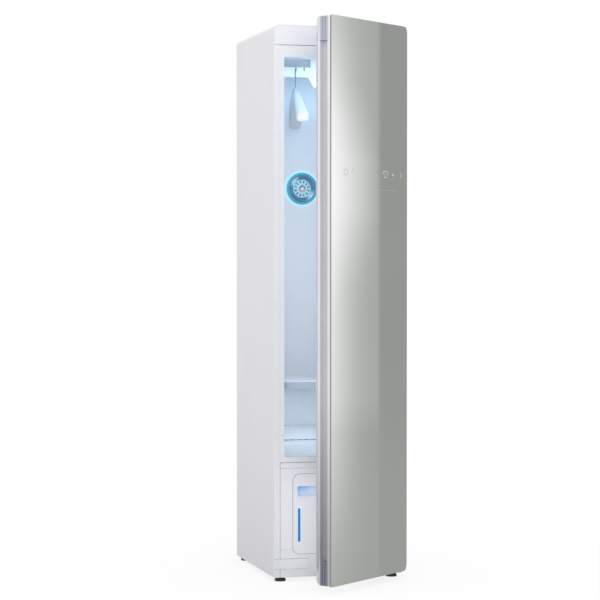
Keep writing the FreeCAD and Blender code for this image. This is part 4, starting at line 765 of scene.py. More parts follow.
@dataclass(frozen=True)
class TurnedChrome(Coating):
    """Bezel turned on a lathe, with a painted highlight: the two bright fans of light that fine rings
    throw back, painted into its colour.

    With d the share of the direction from the axis along the light's line, the painted glint is d * d
    ramped from its start to 1.
    """

    name: str = "turned_chrome"
    painted_glint: Vec3 = srgb(214, 226, 238)
    line: Pair = (-0.77, 0.64)
    start: float = 0.72
    dulling: float = 0.6

    def skin(self, graph: Graph, place: Wire) -> dict:
        """The painted glint over the chrome's own colour.

        Args:
            graph: The material's graph.
            place: Object coordinates.

        Returns:
            Socket name to value or Wire.
        """
        x, rise, radius = fan_polar(graph, place)
        along = (x * self.line[0] + rise * self.line[1]) / radius
        # painted highlight: the glint whitens the base colour and lowers the metallic
        painted_glint = (along * along).ramp(self.start, 1.0)
        inputs = BEZEL_CHROME.skin(graph, place)
        inputs["Base Color"] = graph.mix(painted_glint, BEZEL_CHROME.colour, self.painted_glint)
        inputs["Metallic"] = BEZEL_CHROME.metallic - self.dulling * painted_glint
        return inputs


@dataclass(frozen=True)
class GrillePlastic(Coating):
    """Pale teal grille, lit from its rim, with a lavender hub that has printed rays.

    A ray is printed where the sine of the angle times the number of rays is over a quarter.
    """

    name: str = "grille_plastic"
    disc: Vec3 = srgb(150, 214, 222)
    hub: Vec3 = srgb(214, 214, 232)
    ray: Vec3 = srgb(126, 122, 146)
    rays: float = 11.0
    ray_level: float = 0.25
    ray_span: Pair = (0.0055, 0.0135)
    hub_radius: float = 0.0175
    blur: float = 0.001
    glow: float = 0.12

    def skin(self, graph: Graph, place: Wire) -> dict:
        """Hub colour inside the hub's radius, disc colour outside.

        Args:
            graph: The material's graph.
            place: Object coordinates.

        Returns:
            Socket name to value or Wire.
        """
        x, rise, radius = fan_polar(graph, place)
        share = radius.ramp(self.hub_radius - self.blur, self.hub_radius + self.blur)
        angle = graph.node("ShaderNodeMath", {"operation": "ARCTAN2"}, {0: rise, 1: x})
        printed = ((angle * self.rays).sine() > self.ray_level) * radius.between(*self.ray_span)
        colour = graph.mix(share, graph.mix(printed, self.hub, self.ray), self.disc)
        return {
            "Base Color": colour,
            "Roughness": uneven(graph, place, base=0.3, spread=0.1, scale=80.0),
            "Emission Color": colour,
            "Emission Strength": self.glow,
            "Normal": graph.grain(place, scale=1500.0, depth=0.00002),
        }


WINDOW_MIDDLE = 0.1362  # from the cabinet's middle to the middle of a tank's level window
WINDOW_HALF = 0.0051


def window_distance(x: Wire) -> Wire:
    """Distance across from the middle of the nearer tank's level window."""
    return (x.absolute() - WINDOW_MIDDLE).absolute()


@dataclass(frozen=True)
class TankFront(Coating):
    """White front plate with painted light: a blue-lit finger recess and a pale halo round the level
    window.

    The recess is painted glowing blue at its upper outer corner and fades to white: the share of blue
    falls down from the top edge and inwards from the outer edge. Its light is painted on the plate just
    below.
    """

    name: str
    outer_x: float
    recess: tuple[float, float, float, float]
    glow: Vec3 = srgb(78, 172, 222)
    pale: Vec3 = srgb(208, 213, 224)
    halo: Vec3 = srgb(186, 220, 250)
    lip: Pair = (0.0012, 0.0032)
    margin: float = 0.001
    down_start: float = 0.15
    down_loss: float = 0.8
    fade_side: Pair = (0.004, 0.055)
    side_loss: float = 0.7
    window_low: float = 0.1365
    window_high: float = 0.2485
    halo_width: float = 0.004
    halo_share: float = 0.8
    halo_light: float = 0.9
    spill: float = 0.012
    spill_share: float = 0.35
    light: float = 0.24

    def skin(self, graph: Graph, place: Wire) -> dict:
        """Painted light: lit colour inside the recess; the plate with painted spill and halo outside.

        Args:
            graph: The material's graph.
            place: Object coordinates.

        Returns:
            Socket name to value or Wire.
        """
        x, y, z = graph.axes(place)
        x0, x1, z0, z1 = self.recess
        edge = self.margin
        behind = y.ramp(FRONT_Y + self.lip[0], FRONT_Y + self.lip[1])
        inside = behind * x.between(x0 - edge, x1 + edge) * z.between(z0 - edge, z1 + edge)
        side = (x - x0) if self.outer_x == x0 else (x1 - x)
        blue_side = 1.0 - self.side_loss * side.ramp(*self.fade_side)
        down = (z1 - z).ramp(self.down_start * (z1 - z0), z1 - z0)
        blue = ((1.0 - self.down_loss * down) * blue_side).clamped()
        # painted light: the recess is painted pale to blue in colour and glow
        lit = graph.mix(blue, self.pale, self.glow)
        # painted light: the recess's blue is painted on the plate just below as a spill
        below = z.between(z0 - self.spill, z0) * z.ramp(z0 - self.spill, z0) * x.between(x0, x1)
        painted_spill = graph.mix(below * (self.spill_share * blue_side), FRONT_PLASTIC.colour, self.glow)
        window = self.around_window(x, z)
        # painted light: the level window's halo is painted in colour and glow
        painted_halo_glow = toned(self.halo, self.halo_light)
        inputs = FRONT_PLASTIC.skin(graph, place)
        plate = graph.mix(self.halo_share * window, painted_spill, self.halo)
        inputs["Base Color"] = graph.mix(inside, plate, lit)
        inputs["Emission Color"] = graph.mix(inside, graph.mix(window, BLACK, painted_halo_glow), lit)
        inputs["Emission Strength"] = self.light
        return inputs

    def around_window(self, x: Wire, z: Wire) -> Wire:
        """1 over the level window, falling to 0 over the halo's width.

        Args:
            x: Place across.
            z: Height.

        Returns:
            The halo's share.
        """
        reach = self.halo_width
        above = z.ramp(self.window_low - reach, self.window_low)
        height = above * (1.0 - z.ramp(self.window_high, self.window_high + reach))
        return (1.0 - window_distance(x).ramp(WINDOW_HALF, WINDOW_HALF + reach)) * height


@dataclass(frozen=True)
class TankShell(Coating):
    """Translucent blue tank body whose level window shines through the front plate with painted light:
    its glow and pale rim.
    """

    name: str = "tank_clear"
    body: Vec3 = srgb(150, 196, 226)
    window: Vec3 = srgb(44, 104, 164)
    halo: Vec3 = srgb(132, 196, 240)
    front: float = 0.0035
    edge: float = 0.0026
    glow: float = 0.22
    clearness: float = 0.25

    def skin(self, graph: Graph, place: Wire) -> dict:
        """Window blue with a painted glow and a painted pale rim in the raised field, body blue behind.

        Args:
            graph: The material's graph.
            place: Object coordinates.

        Returns:
            Socket name to value or Wire.
        """
        x, y, _ = graph.axes(place)
        raised = y < FRONT_Y + self.front
        rim = window_distance(x).ramp(WINDOW_HALF - self.edge, WINDOW_HALF)
        # painted light: the window glows blue with a pale rim
        window = graph.mix(rim, self.window, self.halo)
        return {
            "Base Color": graph.mix(raised, self.body, window),
            "Roughness": uneven(graph, place, base=0.22, spread=0.1, scale=30.0, detail=3.0),
            "Emission Color": graph.mix(raised, BLACK, window),
            "Emission Strength": self.glow,
            "Alpha": 1.0 - self.clearness * (1.0 - raised),
            "Coat Weight": 0.4,
            "Normal": graph.grain(place, scale=120.0, depth=0.00004),
        }


@dataclass(frozen=True)
class LinerPlastic(Coating):
    """Cavity wall with the soft halo that the light ring throws on it, painted on as a glow.

    The halo falls as (1 - u) squared, where u runs from 0 at the ring to 1 at the halo's edge, and
    only the back wall has it.
    """

    name: str = "liner_wall"
    halo: Vec3 = srgb(120, 226, 255)
    ring: float = 0.057
    reach: float = 0.016
    back_wall: float = 0.18
    light: float = 0.30

    def skin(self, graph: Graph, place: Wire) -> dict:
        """The liner's plastic with the halo's painted light on it.

        Args:
            graph: The material's graph.
            place: Object coordinates.

        Returns:
            Socket name to value or Wire.
        """
        _, y, _ = graph.axes(place)
        _, _, radius = fan_polar(graph, place)
        near = 1.0 - radius.ramp(self.ring, self.ring + self.reach)
        inputs = LINER_PLASTIC.skin(graph, place)
        # painted light: the ring's halo is a glow painted on the back wall
        inputs["Emission Color"] = graph.mix(near * near * (y > self.back_wall), BLACK, self.halo)
        inputs["Emission Strength"] = self.light
        return inputs


@dataclass(frozen=True)
class HousingPlastic(Coating):
    """Ceiling housing whose front part has a painted glow for the wash of the hidden roof light."""

    name: str = "housing_plastic"
    painted_wash: Vec3 = srgb(176, 222, 255)
    wash_end: float = -0.135
    fade: float = 0.03
    light: float = 0.42

    def skin(self, graph: Graph, place: Wire) -> dict:
        """The liner's plastic with a painted light wash that fades out before its end.

        Args:
            graph: The material's graph.
            place: Object coordinates.

        Returns:
            Socket name to value or Wire.
        """
        _, y, _ = graph.axes(place)
        share = 1.0 - y.ramp(self.wash_end - self.fade, self.wash_end)
        inputs = LINER_PLASTIC.skin(graph, place)
        # painted light: the housing's front is painted with a glow for the roof light's wash
        inputs["Emission Color"] = graph.mix(share, BLACK, self.painted_wash)
        inputs["Emission Strength"] = self.light
        return inputs


@dataclass(frozen=True)
class ShelfPlastic(Coating):
    """Glossy pale shelf with painted shade: its front edge and its finger slot are painted darker."""

    front: float
    height: float
    name: str = "shelf_plastic"
    top: Finish = Finish("shelf_top", srgb(224, 230, 240), 0.26, Relief.POLISHED, mottle=0.03, coat=0.3)
    # painted shade: colour of the darker front edge
    edge: Vec3 = srgb(146, 154, 168)
    painted_shade_depth: Pair = (0.010, 0.014)
    # painted shade: colour in the finger slot
    slot: Vec3 = srgb(96, 108, 132)
    slot_span: Pair = (-0.131, 0.131)
    slot_depth: Pair = (-0.2065, -0.1925)
    rim: float = 0.0008

    def skin(self, graph: Graph, place: Wire) -> dict:
        """Painted shade on the edge below the rim at the front and in the finger slot; top elsewhere.

        Args:
            graph: The material's graph.
            place: Object coordinates.

        Returns:
            Socket name to value or Wire.
        """
        x, y, z = graph.axes(place)
        first, last = self.painted_shade_depth
        # painted shade: the front edge below the rim is darkened
        edge = (1.0 - y.ramp(self.front + first, self.front + last)) * (z < self.height - self.rim)
        sunk = z < self.height - 2 * self.rim
        slot = y.between(*self.slot_depth) * x.between(*self.slot_span) * sunk
        inputs = self.top.skin(graph, place)
        bright = graph.mix(edge, self.top.colour, self.edge)
        inputs["Base Color"] = graph.mix(slot, bright, self.slot)
        return inputs


@dataclass(frozen=True)
class Diffuser(Coating):
    """Frosted lamp diffuser that glows pale blue, patterned with fine prisms along X."""

    name: str = "lamp_diffuser"
    glow: Vec3 = srgb(214, 234, 255)
    prisms: float = 500.0
    prism_depth: float = 0.0002
    clouding: float = 0.1
    light: float = 1.2

    def skin(self, graph: Graph, place: Wire) -> dict:
        """A triangle wave along X is the bump of the prisms.

        Args:
            graph: The material's graph.
            place: Object coordinates.

        Returns:
            Socket name to value or Wire.
        """
        x, _, _ = graph.axes(place)
        scaled = {0: x * self.prisms, 1: 1.0}
        wave = graph.node("ShaderNodeMath", {"operation": "PINGPONG"}, scaled)
        return {
            "Base Color": graph.mix(self.clouding * graph.noise(place, scale=90.0), self.glow, WHITE),
            "Roughness": 0.35,
            "Emission Color": self.glow,
            "Emission Strength": self.light,
            "Normal": graph.bump(wave, self.prism_depth),
        }


# Each finish with the construction nodes that wear it.
NODE_FINISH: tuple[tuple[Coating, str], ...] = (
    (
        Finish("case_paint", srgb(226, 226, 230), 0.42, Relief.ORANGE_PEEL, mottle=0.012, coat=0.15),
        "outer_case",
    ),
    (
        Finish("rear_sheet", srgb(176, 179, 183), 0.45, Relief.SPANGLE, metallic=0.55, mottle=0.08),
        "rear_panel",
    ),
    (
        Finish("zinc_sheet", srgb(188, 191, 195), 0.38, Relief.SPANGLE, metallic=0.9, mottle=0.12),
        "base_pan motor_bridge chassis_deck",
    ),
    (moulded("foot_plastic", srgb(28, 28, 30), 0.55, mottle=0.1), "levelling_feet"),
    (FRONT_PLASTIC, "top_fascia trim_strip lower_panel base_skirt"),
    (
        Finish("felt", srgb(150, 150, 152), 0.95, Relief.FIBRE, mottle=0.25, sheen=0.4, specular=0.2),
        "side_insulation door_foam",
    ),
    (LINER_PLASTIC, "cavity_floor"),
    (LinerPlastic(), "inner_liner"),
    (HousingPlastic(), "ceiling_housing"),
    (Diffuser(), "ceiling_lamp"),
    (moulded("filter_plastic", srgb(196, 208, 224), 0.40), "lint_filter"),
    (ShelfPlastic(low("shelf")[1], high("shelf")[2]), "shelf"),
    (
        moulded("duct_plastic", srgb(150, 154, 160), 0.5),
        "fan_shroud rod_brackets tank_bay blower_housing",
    ),
    (
        Finish("motor_can", srgb(190, 192, 196), 0.32, Relief.BRUSHED_ALONG, metallic=0.95),
        "fan_motor shaker_motor blower_motor",
    ),
    (Finish("rotor_plastic", srgb(210, 220, 228), 0.35, Relief.POLISHED), "fan_rotor blower_wheel"),
    (LightGuide(), "fan_light_ring"),
    (TurnedChrome(), "fan_bezel"),
    (GrillePlastic(), "fan_grille"),
    (Finish("bright_rod", srgb(214, 216, 218), 0.12, Relief.BRUSHED_ALONG, metallic=1.0), "guide_rods"),
    (moulded("carriage_plastic", srgb(232, 231, 224), 0.36), "hanger_carriage crank hinge_bushes"),
    (
        Finish("rail_plastic", srgb(240, 243, 246), 0.28, Relief.POLISHED, mottle=0.02, coat=0.3),
        "hanger_rail",
    ),
    (Finish("hook_steel", srgb(176, 184, 194), 0.16, Relief.BRUSHED_UP, metallic=1.0), "hanger_hook"),
    (
        Finish("hanger_plastic", srgb(206, 208, 214), 0.30, Relief.POLISHED, mottle=0.02, coat=0.3),
        "hanger_body",
    ),
    (TankShell(), "supply_tank drain_tank"),
    (
        Finish("plate_paint", srgb(225, 226, 231), 0.36, Relief.ORANGE_PEEL, mottle=0.01, coat=0.2),
        "corner_plate lower_hinge upper_hinge",
    ),
    (MirrorGlass(), "door_glass"),
    (
        moulded("frame_plastic", srgb(213, 213, 217), 0.30, mottle=0.02, coat=0.2, fade=EDGE_PAINTED_SHADE),
        "door_frame",
    ),
    (CHANNEL_PLASTIC, "grip_channel"),
    (CapPlastic("top_cap", TOP_CAP_PLASTIC, srgb(206, 208, 215)), "door_top_cap"),
    (CapPlastic("bottom_cap", BOTTOM_CAP_PLASTIC, srgb(198, 198, 206)), "door_bottom_cap"),
    (moulded("pan_plastic", srgb(216, 213, 219), 0.34, mottle=0.02, fade=EDGE_PAINTED_SHADE), "door_liner"),
    (moulded("board_tray", srgb(40, 41, 44), 0.5), "control_display control_box water_pump"),
    (Finish("black_paint", srgb(30, 30, 32), 0.3, Relief.ORANGE_PEEL, coat=0.4), "compressor"),
    (
        Finish("fin_aluminium", srgb(206, 208, 210), 0.3, Relief.BRUSHED_UP, metallic=1.0),
        "heat_exchangers",
    ),
    (
        Finish("boiler_cast", srgb(184, 186, 188), 0.5, Relief.CAST, metallic=0.9, mottle=0.08),
        "steam_generator",
    ),
    (moulded("gland_rubber", srgb(34, 34, 36), 0.65), "cord_gland"),
    (Finish("screw_zinc", srgb(196, 194, 184), 0.3, Relief.BRUSHED_ALONG, metallic=1.0), "panel_screws"),
)


# ---------- sub-assemblies
@dataclass
class Dressing:
    """Puts finishes on construction nodes and keeps one material for each finish."""

    made: dict[str, bpy.types.Material] = field(default_factory=dict)

    def get(self, finish: Coating) -> bpy.types.Material:
        """The material of a finish, made once.

        Args:
            finish: The finish.

        Returns:
            Its material.
        """
        if finish.name not in self.made:
            self.made[finish.name] = finish.material()
        return self.made[finish.name]

    def node(self, name: str, finish: Coating) -> None:
        """Give a construction node its finish.

        Args:
            name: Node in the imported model.
            finish: The finish that it wears.
        """
        mesh = frame["nodes"][name].data
        mesh.materials.clear()
        mesh.materials.append(self.get(finish))
        LOG.info("node %s wears %s", name, finish.name)

    def piece(self, made: Piece, finish: Coating, body: str, slot: str) -> None:
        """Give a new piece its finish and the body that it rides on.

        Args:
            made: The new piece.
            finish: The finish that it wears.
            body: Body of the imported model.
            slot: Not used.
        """
        made.data.materials.append(self.get(finish))
        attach(made, body)
        LOG.info("piece %s rides on %s", made.name, body)


@dataclass
class Cabinet:
    """All construction nodes: their finishes, and the places of the tanks' finger recesses."""

    dressing: Dressing
    recess_low: float = 0.2855
    recess_high: float = 0.3174
    recess_outer: float = 0.142
    recess_inner: float = 0.019

    def build(self) -> None:
        """Dress the nodes."""
        for finish, names in NODE_FINISH:
            for name in names.split():
                self.dressing.node(name, finish)
        outer, inner = self.recess_outer, self.recess_inner
        heights = (self.recess_low, self.recess_high)
        supply = TankFront("supply_front", -outer, (-outer, -inner, *heights))
        drain = TankFront("drain_front", outer, (inner, outer, *heights))
        self.dressing.node("supply_tank_front", supply)
        self.dressing.node("drain_tank_front", drain)


@dataclass
class DoorSeal:
    """Bellows seal round the door liner, with a magnet bead at its crown."""

    dressing: Dressing
    left: float = -0.215
    right: float = 0.200
    behind_front: float = 0.006
    width: float = 0.018
    depth: float = 0.0045
    corner: float = 0.012
    folds: int = 3
    fold_points: int = 4
    fold_height: float = 0.0006
    inset: float = 0.0007
    bead_height: float = 0.0003
    bead_sink: float = 0.0004
    bead_points: int = 13

    def build(self) -> None:
        """Carry the bellows section round the seal's rectangle.

        The section's flanks are a sine wave of small folds between foot and crown; the crown is a
        low bead, half a sine wave across.
        """
        foot = FRONT_Y - self.behind_front
        bottom, top = low("door_gasket")[2], high("door_gasket")[2]
        t = np.linspace(0, 1, self.fold_points * self.folds + 1)
        wave = self.fold_height * np.sin(t * self.folds * 2 * math.pi)
        outer = np.stack((-self.inset + wave, foot + t * self.depth), -1)
        s = np.linspace(0, 1, self.bead_points)
        crown = foot + self.depth - self.bead_sink + self.bead_height * np.sin(s * math.pi)
        across = np.stack((-self.inset - s * (self.width - 2 * self.inset), crown), -1)
        inner = np.stack((-self.width + self.inset - wave[::-1], foot + t[::-1] * self.depth), -1)
        profile = np.concatenate((outer[:-1], across, inner[1:]))
        middle = ((self.left + self.right) / 2, (bottom + top) / 2)
        half = ((self.right - self.left) / 2, (top - bottom) / 2)
        made = outward(swept_frame("door_seal", middle, half, self.corner, profile))
        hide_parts("door_gasket")
        self.dressing.piece(made, SEAL_RUBBER, "door", "seal_rubber")


@dataclass
class FrontSeams:
    """Dark strips, painted shadow, in the front's joints, round its tank fronts and corner plate, and
    vent gauze.
    """

    dressing: Dressing
    width: float = 0.0016
    proud: float = 0.00012
    thickness: float = 0.001
    tank_corner: float = 0.024
    tank_joint: Pair = (0.0001, 0.0012)
    gauze_foot: Pair = (0.0410, 0.4362)
    gauze_head: Pair = (0.0469, 0.4466)
    gauze_half: float = 0.17
    gauze_sheet: float = 0.0006
    plate_foot: float = 0.043
    plate_line: float = 0.0007

    def build(self) -> None:
        """Lay the strips along the joints of the front and hang the gauze."""
        self.lay(self.joints())
        for name in ("supply_tank_front", "drain_tank_front"):
            self.outline(name)
        self.lay(self.plate_edges())
        (y0, z0), (y1, z1), t = self.gauze_foot, self.gauze_head, self.gauze_sheet
        outline = np.array(((y0, z0), (y0 + t, z0), (y1 + t, z1), (y1, z1)))
        gauze = bar("vent_gauze", (-self.gauze_half, self.gauze_half), outline)
        self.dressing.piece(gauze, GAUZE, "cabinet", "felt")

    def lay(self, rows: dict[str, tuple[Pair, Pair, float]]) -> None:
        """Make a strip for each row.

        Args:
            rows: Name of the strip to its run in X, height in Z and the depth of its face.
        """
        for name, ((x0, x1), (z0, z1), face) in rows.items():
            # painted shadow: each strip is dark for the shade in its gap
            front = face - self.proud
            made = block(name, (x0, front, z0), (x1, front + self.thickness, z1))
            self.dressing.piece(made, PAINTED_SHADOW_STRIP, "cabinet", "seal_rubber")

    def joints(self) -> dict[str, tuple[Pair, Pair, float]]:
        """Rows of the strips between two mouldings.

        Returns:
            Name of the strip to its run in X, height in Z and the depth of its face.
        """
        half, side, face = self.width / 2, high("lower_panel")[0], low("lower_panel")[1]
        fascia, sill = (high("inner_liner")[2] + low("top_fascia")[2]) / 2, low("inner_liner")[2]
        height = (low("base_skirt")[2], sill)
        return {
            "fascia_seam": ((-side, side), (fascia - half, fascia + half), FRONT_Y),
            "sill_seam": ((-side, side), (sill - half, sill + half), face),
            "left_seam": ((-side - half, -side + half), height, face),
            "right_seam": ((side - half, side + half), height, face),
        }

    def plate_edges(self) -> dict[str, tuple[Pair, Pair, float]]:
        """Rows of the shadow lines along the free edges of the corner plate.

        Returns:
            Name of the strip to its run in X, height in Z and the depth of its face.
        """
        (right, _, head), left = high("corner_plate"), low("outer_case")[0]
        foot, line, face = self.plate_foot, self.plate_line, min(FRONT_Y, low("base_skirt")[1])
        return {
            "plate_top_seam": ((left, right + line), (head, head + line), face),
            "plate_end_seam": ((right, right + line), (foot, head), face),
            "plate_foot_seam": ((left, right + line), (foot - line, foot), face),
        }

    def outline(self, node: str) -> None:
        """Lay a strip in the joint round a tank front.

        Args:
            node: The tank front's node.
        """
        (x0, y0, z0), (x1, _, z1) = low(node), high(node)
        inside, outside = self.tank_joint
        front = y0 - self.proud
        back = front + self.thickness
        profile = np.array(((inside, front), (outside, front), (outside, back), (inside, back)))
        centre, half = ((x0 + x1) / 2, (z0 + z1) / 2), ((x1 - x0) / 2, (z1 - z0) / 2)
        # painted shadow: the strip round the tank front is dark for the shade in its joint
        loop = swept_frame(f"{node}_joint", centre, half, self.tank_corner, profile, on_door=False)
        self.dressing.piece(outward(loop), PAINTED_SHADOW_STRIP, "cabinet", "seal_rubber")


@dataclass
class GlazingBead:
    """Dark bead that fills the joint between the glass and the door frame."""

    dressing: Dressing
    behind: float = 0.0040
    width: float = 0.0014
    corner: float = 0.004
    flattening: float = 0.25
    sink: float = 0.0001
    points: int = 9

    def build(self) -> None:
        """Carry a flat half-round section round the glass, on the frame's side just behind it.

        With r half the bead's width and a from -90 to 90 degrees, the section is the flattening
        times r cos a outwards, less the sink, at the depth of r sin a.
        """
        bottom, top = low("door_glass")[2], high("door_glass")[2]
        half = (DOOR_HALF, (top - bottom) / 2 - self.sink)
        radius = self.width / 2
        angle = np.linspace(-math.pi / 2, math.pi / 2, self.points)
        out = self.flattening * radius * np.cos(angle) - self.sink
        depth = FRONT_Y - DOOR_THICKNESS + self.behind + radius * np.sin(angle)
        profile = np.stack((out, depth), -1)
        loop = swept_frame("glazing_bead", (0.0, (bottom + top) / 2), half, self.corner, profile)
        self.dressing.piece(outward(loop), BEAD_RUBBER, "door", "seal_rubber")


@dataclass
class TouchMarks:
    """Printed marks of the touch panel: power ring, start, shirt, dot, moon and scale.

    A place is a distance from the door's free edge and a height over the panel's own height. The
    shirt's side and its mirror image make its outline; the moon is an arc that swells and tapers.
    """

    dressing: Dressing
    height: float = 1.3535
    lift: float = 0.00012
    line: float = 0.0009
    bold: float = 0.0014
    thin: float = 0.0006
    power_place: Pair = (0.082, 0.0)
    power_radius: float = 0.0105
    power_gap: float = 0.45
    power_bar: Pair = (0.004, 0.013)
    start_corners: tuple[Pair, ...] = ((0.118, 0.002), (0.132, 0.008), (0.118, 0.014))
    shirt_place: Pair = (0.312, 0.0)
    shirt_side: tuple[Pair, ...] = (
        (0.005, 0.010), (0.016, 0.007), (0.013, 0.0), (0.008, 0.002), (0.008, -0.010)
    )
    dot_place: Pair = (0.356, -0.001)
    dot_radius: float = 0.0022
    dot_half: float = 0.0021
    moon_place: Pair = (0.399, -0.001)
    moon_radius: float = 0.0075
    moon_arc: Pair = (0.1, 3.0)
    crescent: float = 0.0019
    taper: float = 0.05
    ticks: int = 8
    tick_start: float = 0.222
    tick_step: float = 0.015
    tick_heights: Pair = (-0.043, -0.035)
    scale_ends: tuple[Pair, ...] = ((0.228, -0.053), (0.386, -0.053))
    foot_ends: tuple[Pair, ...] = ((0.212, -0.068), (0.266, -0.068))
    ink: Finish = moulded("panel_ink", srgb(186, 190, 186), 0.5, mottle=0.01)
    faint: Finish = moulded("scale_ink", srgb(160, 166, 160), 0.5, mottle=0.01)
    dark: Finish = moulded("power_ink", srgb(166, 170, 166), 0.5, mottle=0.01)

    def build(self) -> None:
        """Lay the marks side by side and the scale below them."""
        turn, gap, taper = 2 * math.pi, self.power_gap, self.taper
        ring = arc_path(self.power_place, self.power_radius, gap, turn - gap)
        stem = [(self.power_place[0], height) for height in self.power_bar]
        side = np.array(self.shirt_side)
        shirt = np.array(self.shirt_place) + np.concatenate((side, side[::-1] * (-1, 1)))
        dot = arc_path(self.dot_place, self.dot_radius, 0.0, turn)[:-1]
        moon = arc_path(self.moon_place, self.moon_radius, *self.moon_arc)
        swell = self.crescent * np.sin(np.linspace(taper, math.pi - taper, len(moon)))
        self.lay("power_ring", self.dark, self.line, False, ring)
        self.lay("power_bar", self.dark, self.line, False, stem)
        self.lay("start_mark", self.dark, self.line, True, self.start_corners)
        self.lay("shirt_mark", self.ink, self.bold, True, shirt)
        self.lay("dot_mark", self.ink, self.dot_half, True, dot)
        self.lay("moon_mark", self.ink, swell, False, moon)
        for number in range(self.ticks):
            run = self.tick_start + number * self.tick_step
            tick = [(run, height) for height in self.tick_heights]
            self.lay(f"scale_tick_{number}", self.faint, self.thin, False, tick)
        self.lay("scale_line", self.faint, self.thin, False, self.scale_ends)
        self.lay("scale_foot", self.faint, self.thin, False, self.foot_ends)

    def lay(self, name: str, ink: Finish, half: np.ndarray | float, closed: bool, path: Any) -> None:
        """Lay one line on the glass and let it ride on the door.

        Args:
            name: Name of the new piece.
            ink: Its finish.
            half: Half width, one value or one for each point.
            closed: Whether the path runs back to its start.
            path: The line's places, in order.
        """
        placed = np.array(path) + np.array((0.0, self.height))
        made = ribbon(name, placed, half, self.lift, closed)
        self.dressing.piece(made, ink, "door", "front_plastic")


# ---------- studio and camera
@dataclass(frozen=True)
class Lamp:
    """One area lamp that only lights: camera and reflections don't see it."""

    name: str
    place: Vec3
    turn: Vec3
    size: Pair
    power: float
    colour: Vec3 = WHITE

    def build(self) -> None:
        """Add the lamp; unturned it points down."""
        data = bpy.data.lights.new(self.name, "AREA")
        data.shape = "RECTANGLE"
        data.size, data.size_y = self.size
        data.energy = self.power
        data.color = self.colour
        made = bpy.data.objects.new(self.name, data)
        made.location = self.place
        made.rotation_euler = self.turn
        hide(made, "camera", "glossy")
        bpy.context.scene.collection.objects.link(made)


COLD, PALE, COOL = (0.32, 0.68, 1.0), (0.86, 0.94, 1.0), (0.72, 0.88, 1.0)
DOWN, FORWARD, UP = (0.0, 0.0, 0.0), (math.radians(90), 0.0, 0.0), (math.radians(180), 0.0, 0.0)
TO_WALL = (math.radians(80), 0.0, 0.0)
CAVITY_LAMPS = (
    Lamp("roof_lamp", (0.0, -0.17, 1.755), DOWN, (0.14, 0.03), 0.34, COLD),
    Lamp("housing_lamp", (0.0, -0.08, 1.60), UP, (0.30, 0.10), 0.11, COLD),
    Lamp("wall_lamp", (0.0, 0.115, 1.64), TO_WALL, (0.34, 0.06), 0.09, COLD),
    Lamp("mouth_lamp", (0.0, -0.262, 1.10), FORWARD, (0.34, 1.24), 1.25, PALE),
    Lamp("lower_lamp", (0.0, 0.02, 0.630), DOWN, (0.30, 0.10), 0.26, COOL),
    Lamp("front_fill", (-0.09, -0.360, 0.19), FORWARD, (0.18, 0.36), 0.12),
)


@dataclass
class Studio:
    """White surroundings, plain pale floor, reflection card, cavity lamps and soft key light."""

    white: float = 1.0
    floor_size: float = 40.0
    floor_paint: Vec3 = (0.93, 0.93, 0.93)
    floor_light: float = 0.82
    floor_fade: Pair = (0.35, 1.3)
    # painted shade: the bounce floor's tone near the cabinet
    bounce_painted_shade: Vec3 = (0.28, 0.28, 0.29)
    bounce_far: Vec3 = (0.85, 0.85, 0.85)
    bounce_fade: Pair = (0.3, 3.5)
    bounce_drop: float = 0.001
    key_place: Vec3 = (-0.9, -6.0, 2.6)
    key_target: Vec3 = (-0.1, -0.2, 0.9)
    key_size: float = 3.0
    key_power: float = 115.0

    def build(self) -> None:
        """Set up surroundings, floors, card and lights."""
        scene = bpy.context.scene
        scene.view_settings.view_transform = "Standard"
        self.surroundings(scene)
        self.seen_floor()
        self.bounce_floor()
        ReflectionCard().build()
        for lamp in CAVITY_LAMPS:
            lamp.build()
        aim = Vector(self.key_target) - Vector(self.key_place)
        turn = tuple(aim.to_track_quat("-Z", "Y").to_euler())
        Lamp("key_light", self.key_place, turn, (self.key_size, self.key_size), self.key_power).build()

    def surroundings(self, scene: bpy.types.Scene) -> None:
        """White surroundings.

        Args:
            scene: The scene that gets them.
        """
        world = bpy.data.worlds.new("studio_white")
        world.use_nodes = True
        background = world.node_tree.nodes["Background"]
        background.inputs["Color"].default_value = (*WHITE, 1.0)
        background.inputs["Strength"].default_value = self.white
        scene.world = world

    def seen_floor(self) -> None:
        """Pale floor that the camera sees, which casts and bounces nothing.

        It is mostly light and some paint near the cabinet and turns into the white surroundings
        further off.
        """
        graph = Graph("studio_floor_paint")
        paint = graph.node("ShaderNodeBsdfDiffuse", None, {"Color": self.floor_paint}, "BSDF")
        glow = {"Color": WHITE, "Strength": self.white}
        light = graph.node("ShaderNodeEmission", None, glow, "Emission")
        distance = level_distance(graph).ramp(*self.floor_fade)
        fade = self.floor_light + (1.0 - self.floor_light) * distance
        graph.output(graph.node("ShaderNodeMixShader", None, {0: fade, 1: paint, 2: light}, "Shader"))
        seen = self.plane("studio_floor", 0.0, graph)
        hide(seen, "diffuse", "shadow")

    def bounce_floor(self) -> None:
        """Matt floor that only bounces light, with painted shade: darker near the cabinet, paler away
        from it.
        """
        graph = Graph("bounce_floor_paint")
        share = level_distance(graph).ramp(*self.bounce_fade)
        tone = graph.mix(share, self.bounce_painted_shade, self.bounce_far)
        graph.output(graph.node("ShaderNodeBsdfDiffuse", None, {"Color": tone}, "BSDF"))
        hide(self.plane("bounce_floor", -self.bounce_drop, graph), "camera")

    def plane(self, name: str, height: float, graph: Graph) -> Piece:
        """A wide level sheet that no glossy ray sees.

        Args:
            name: Name of the sheet.
            height: Its height.
            graph: The graph of its material.

        Returns:
            The sheet.
        """
        half = self.floor_size / 2
        corners = ((-half, -half), (half, -half), (half, half), (-half, half))
        made = stage_sheet(name, [(x, y, height) for x, y in corners], graph)
        hide(made, "glossy")
        return made


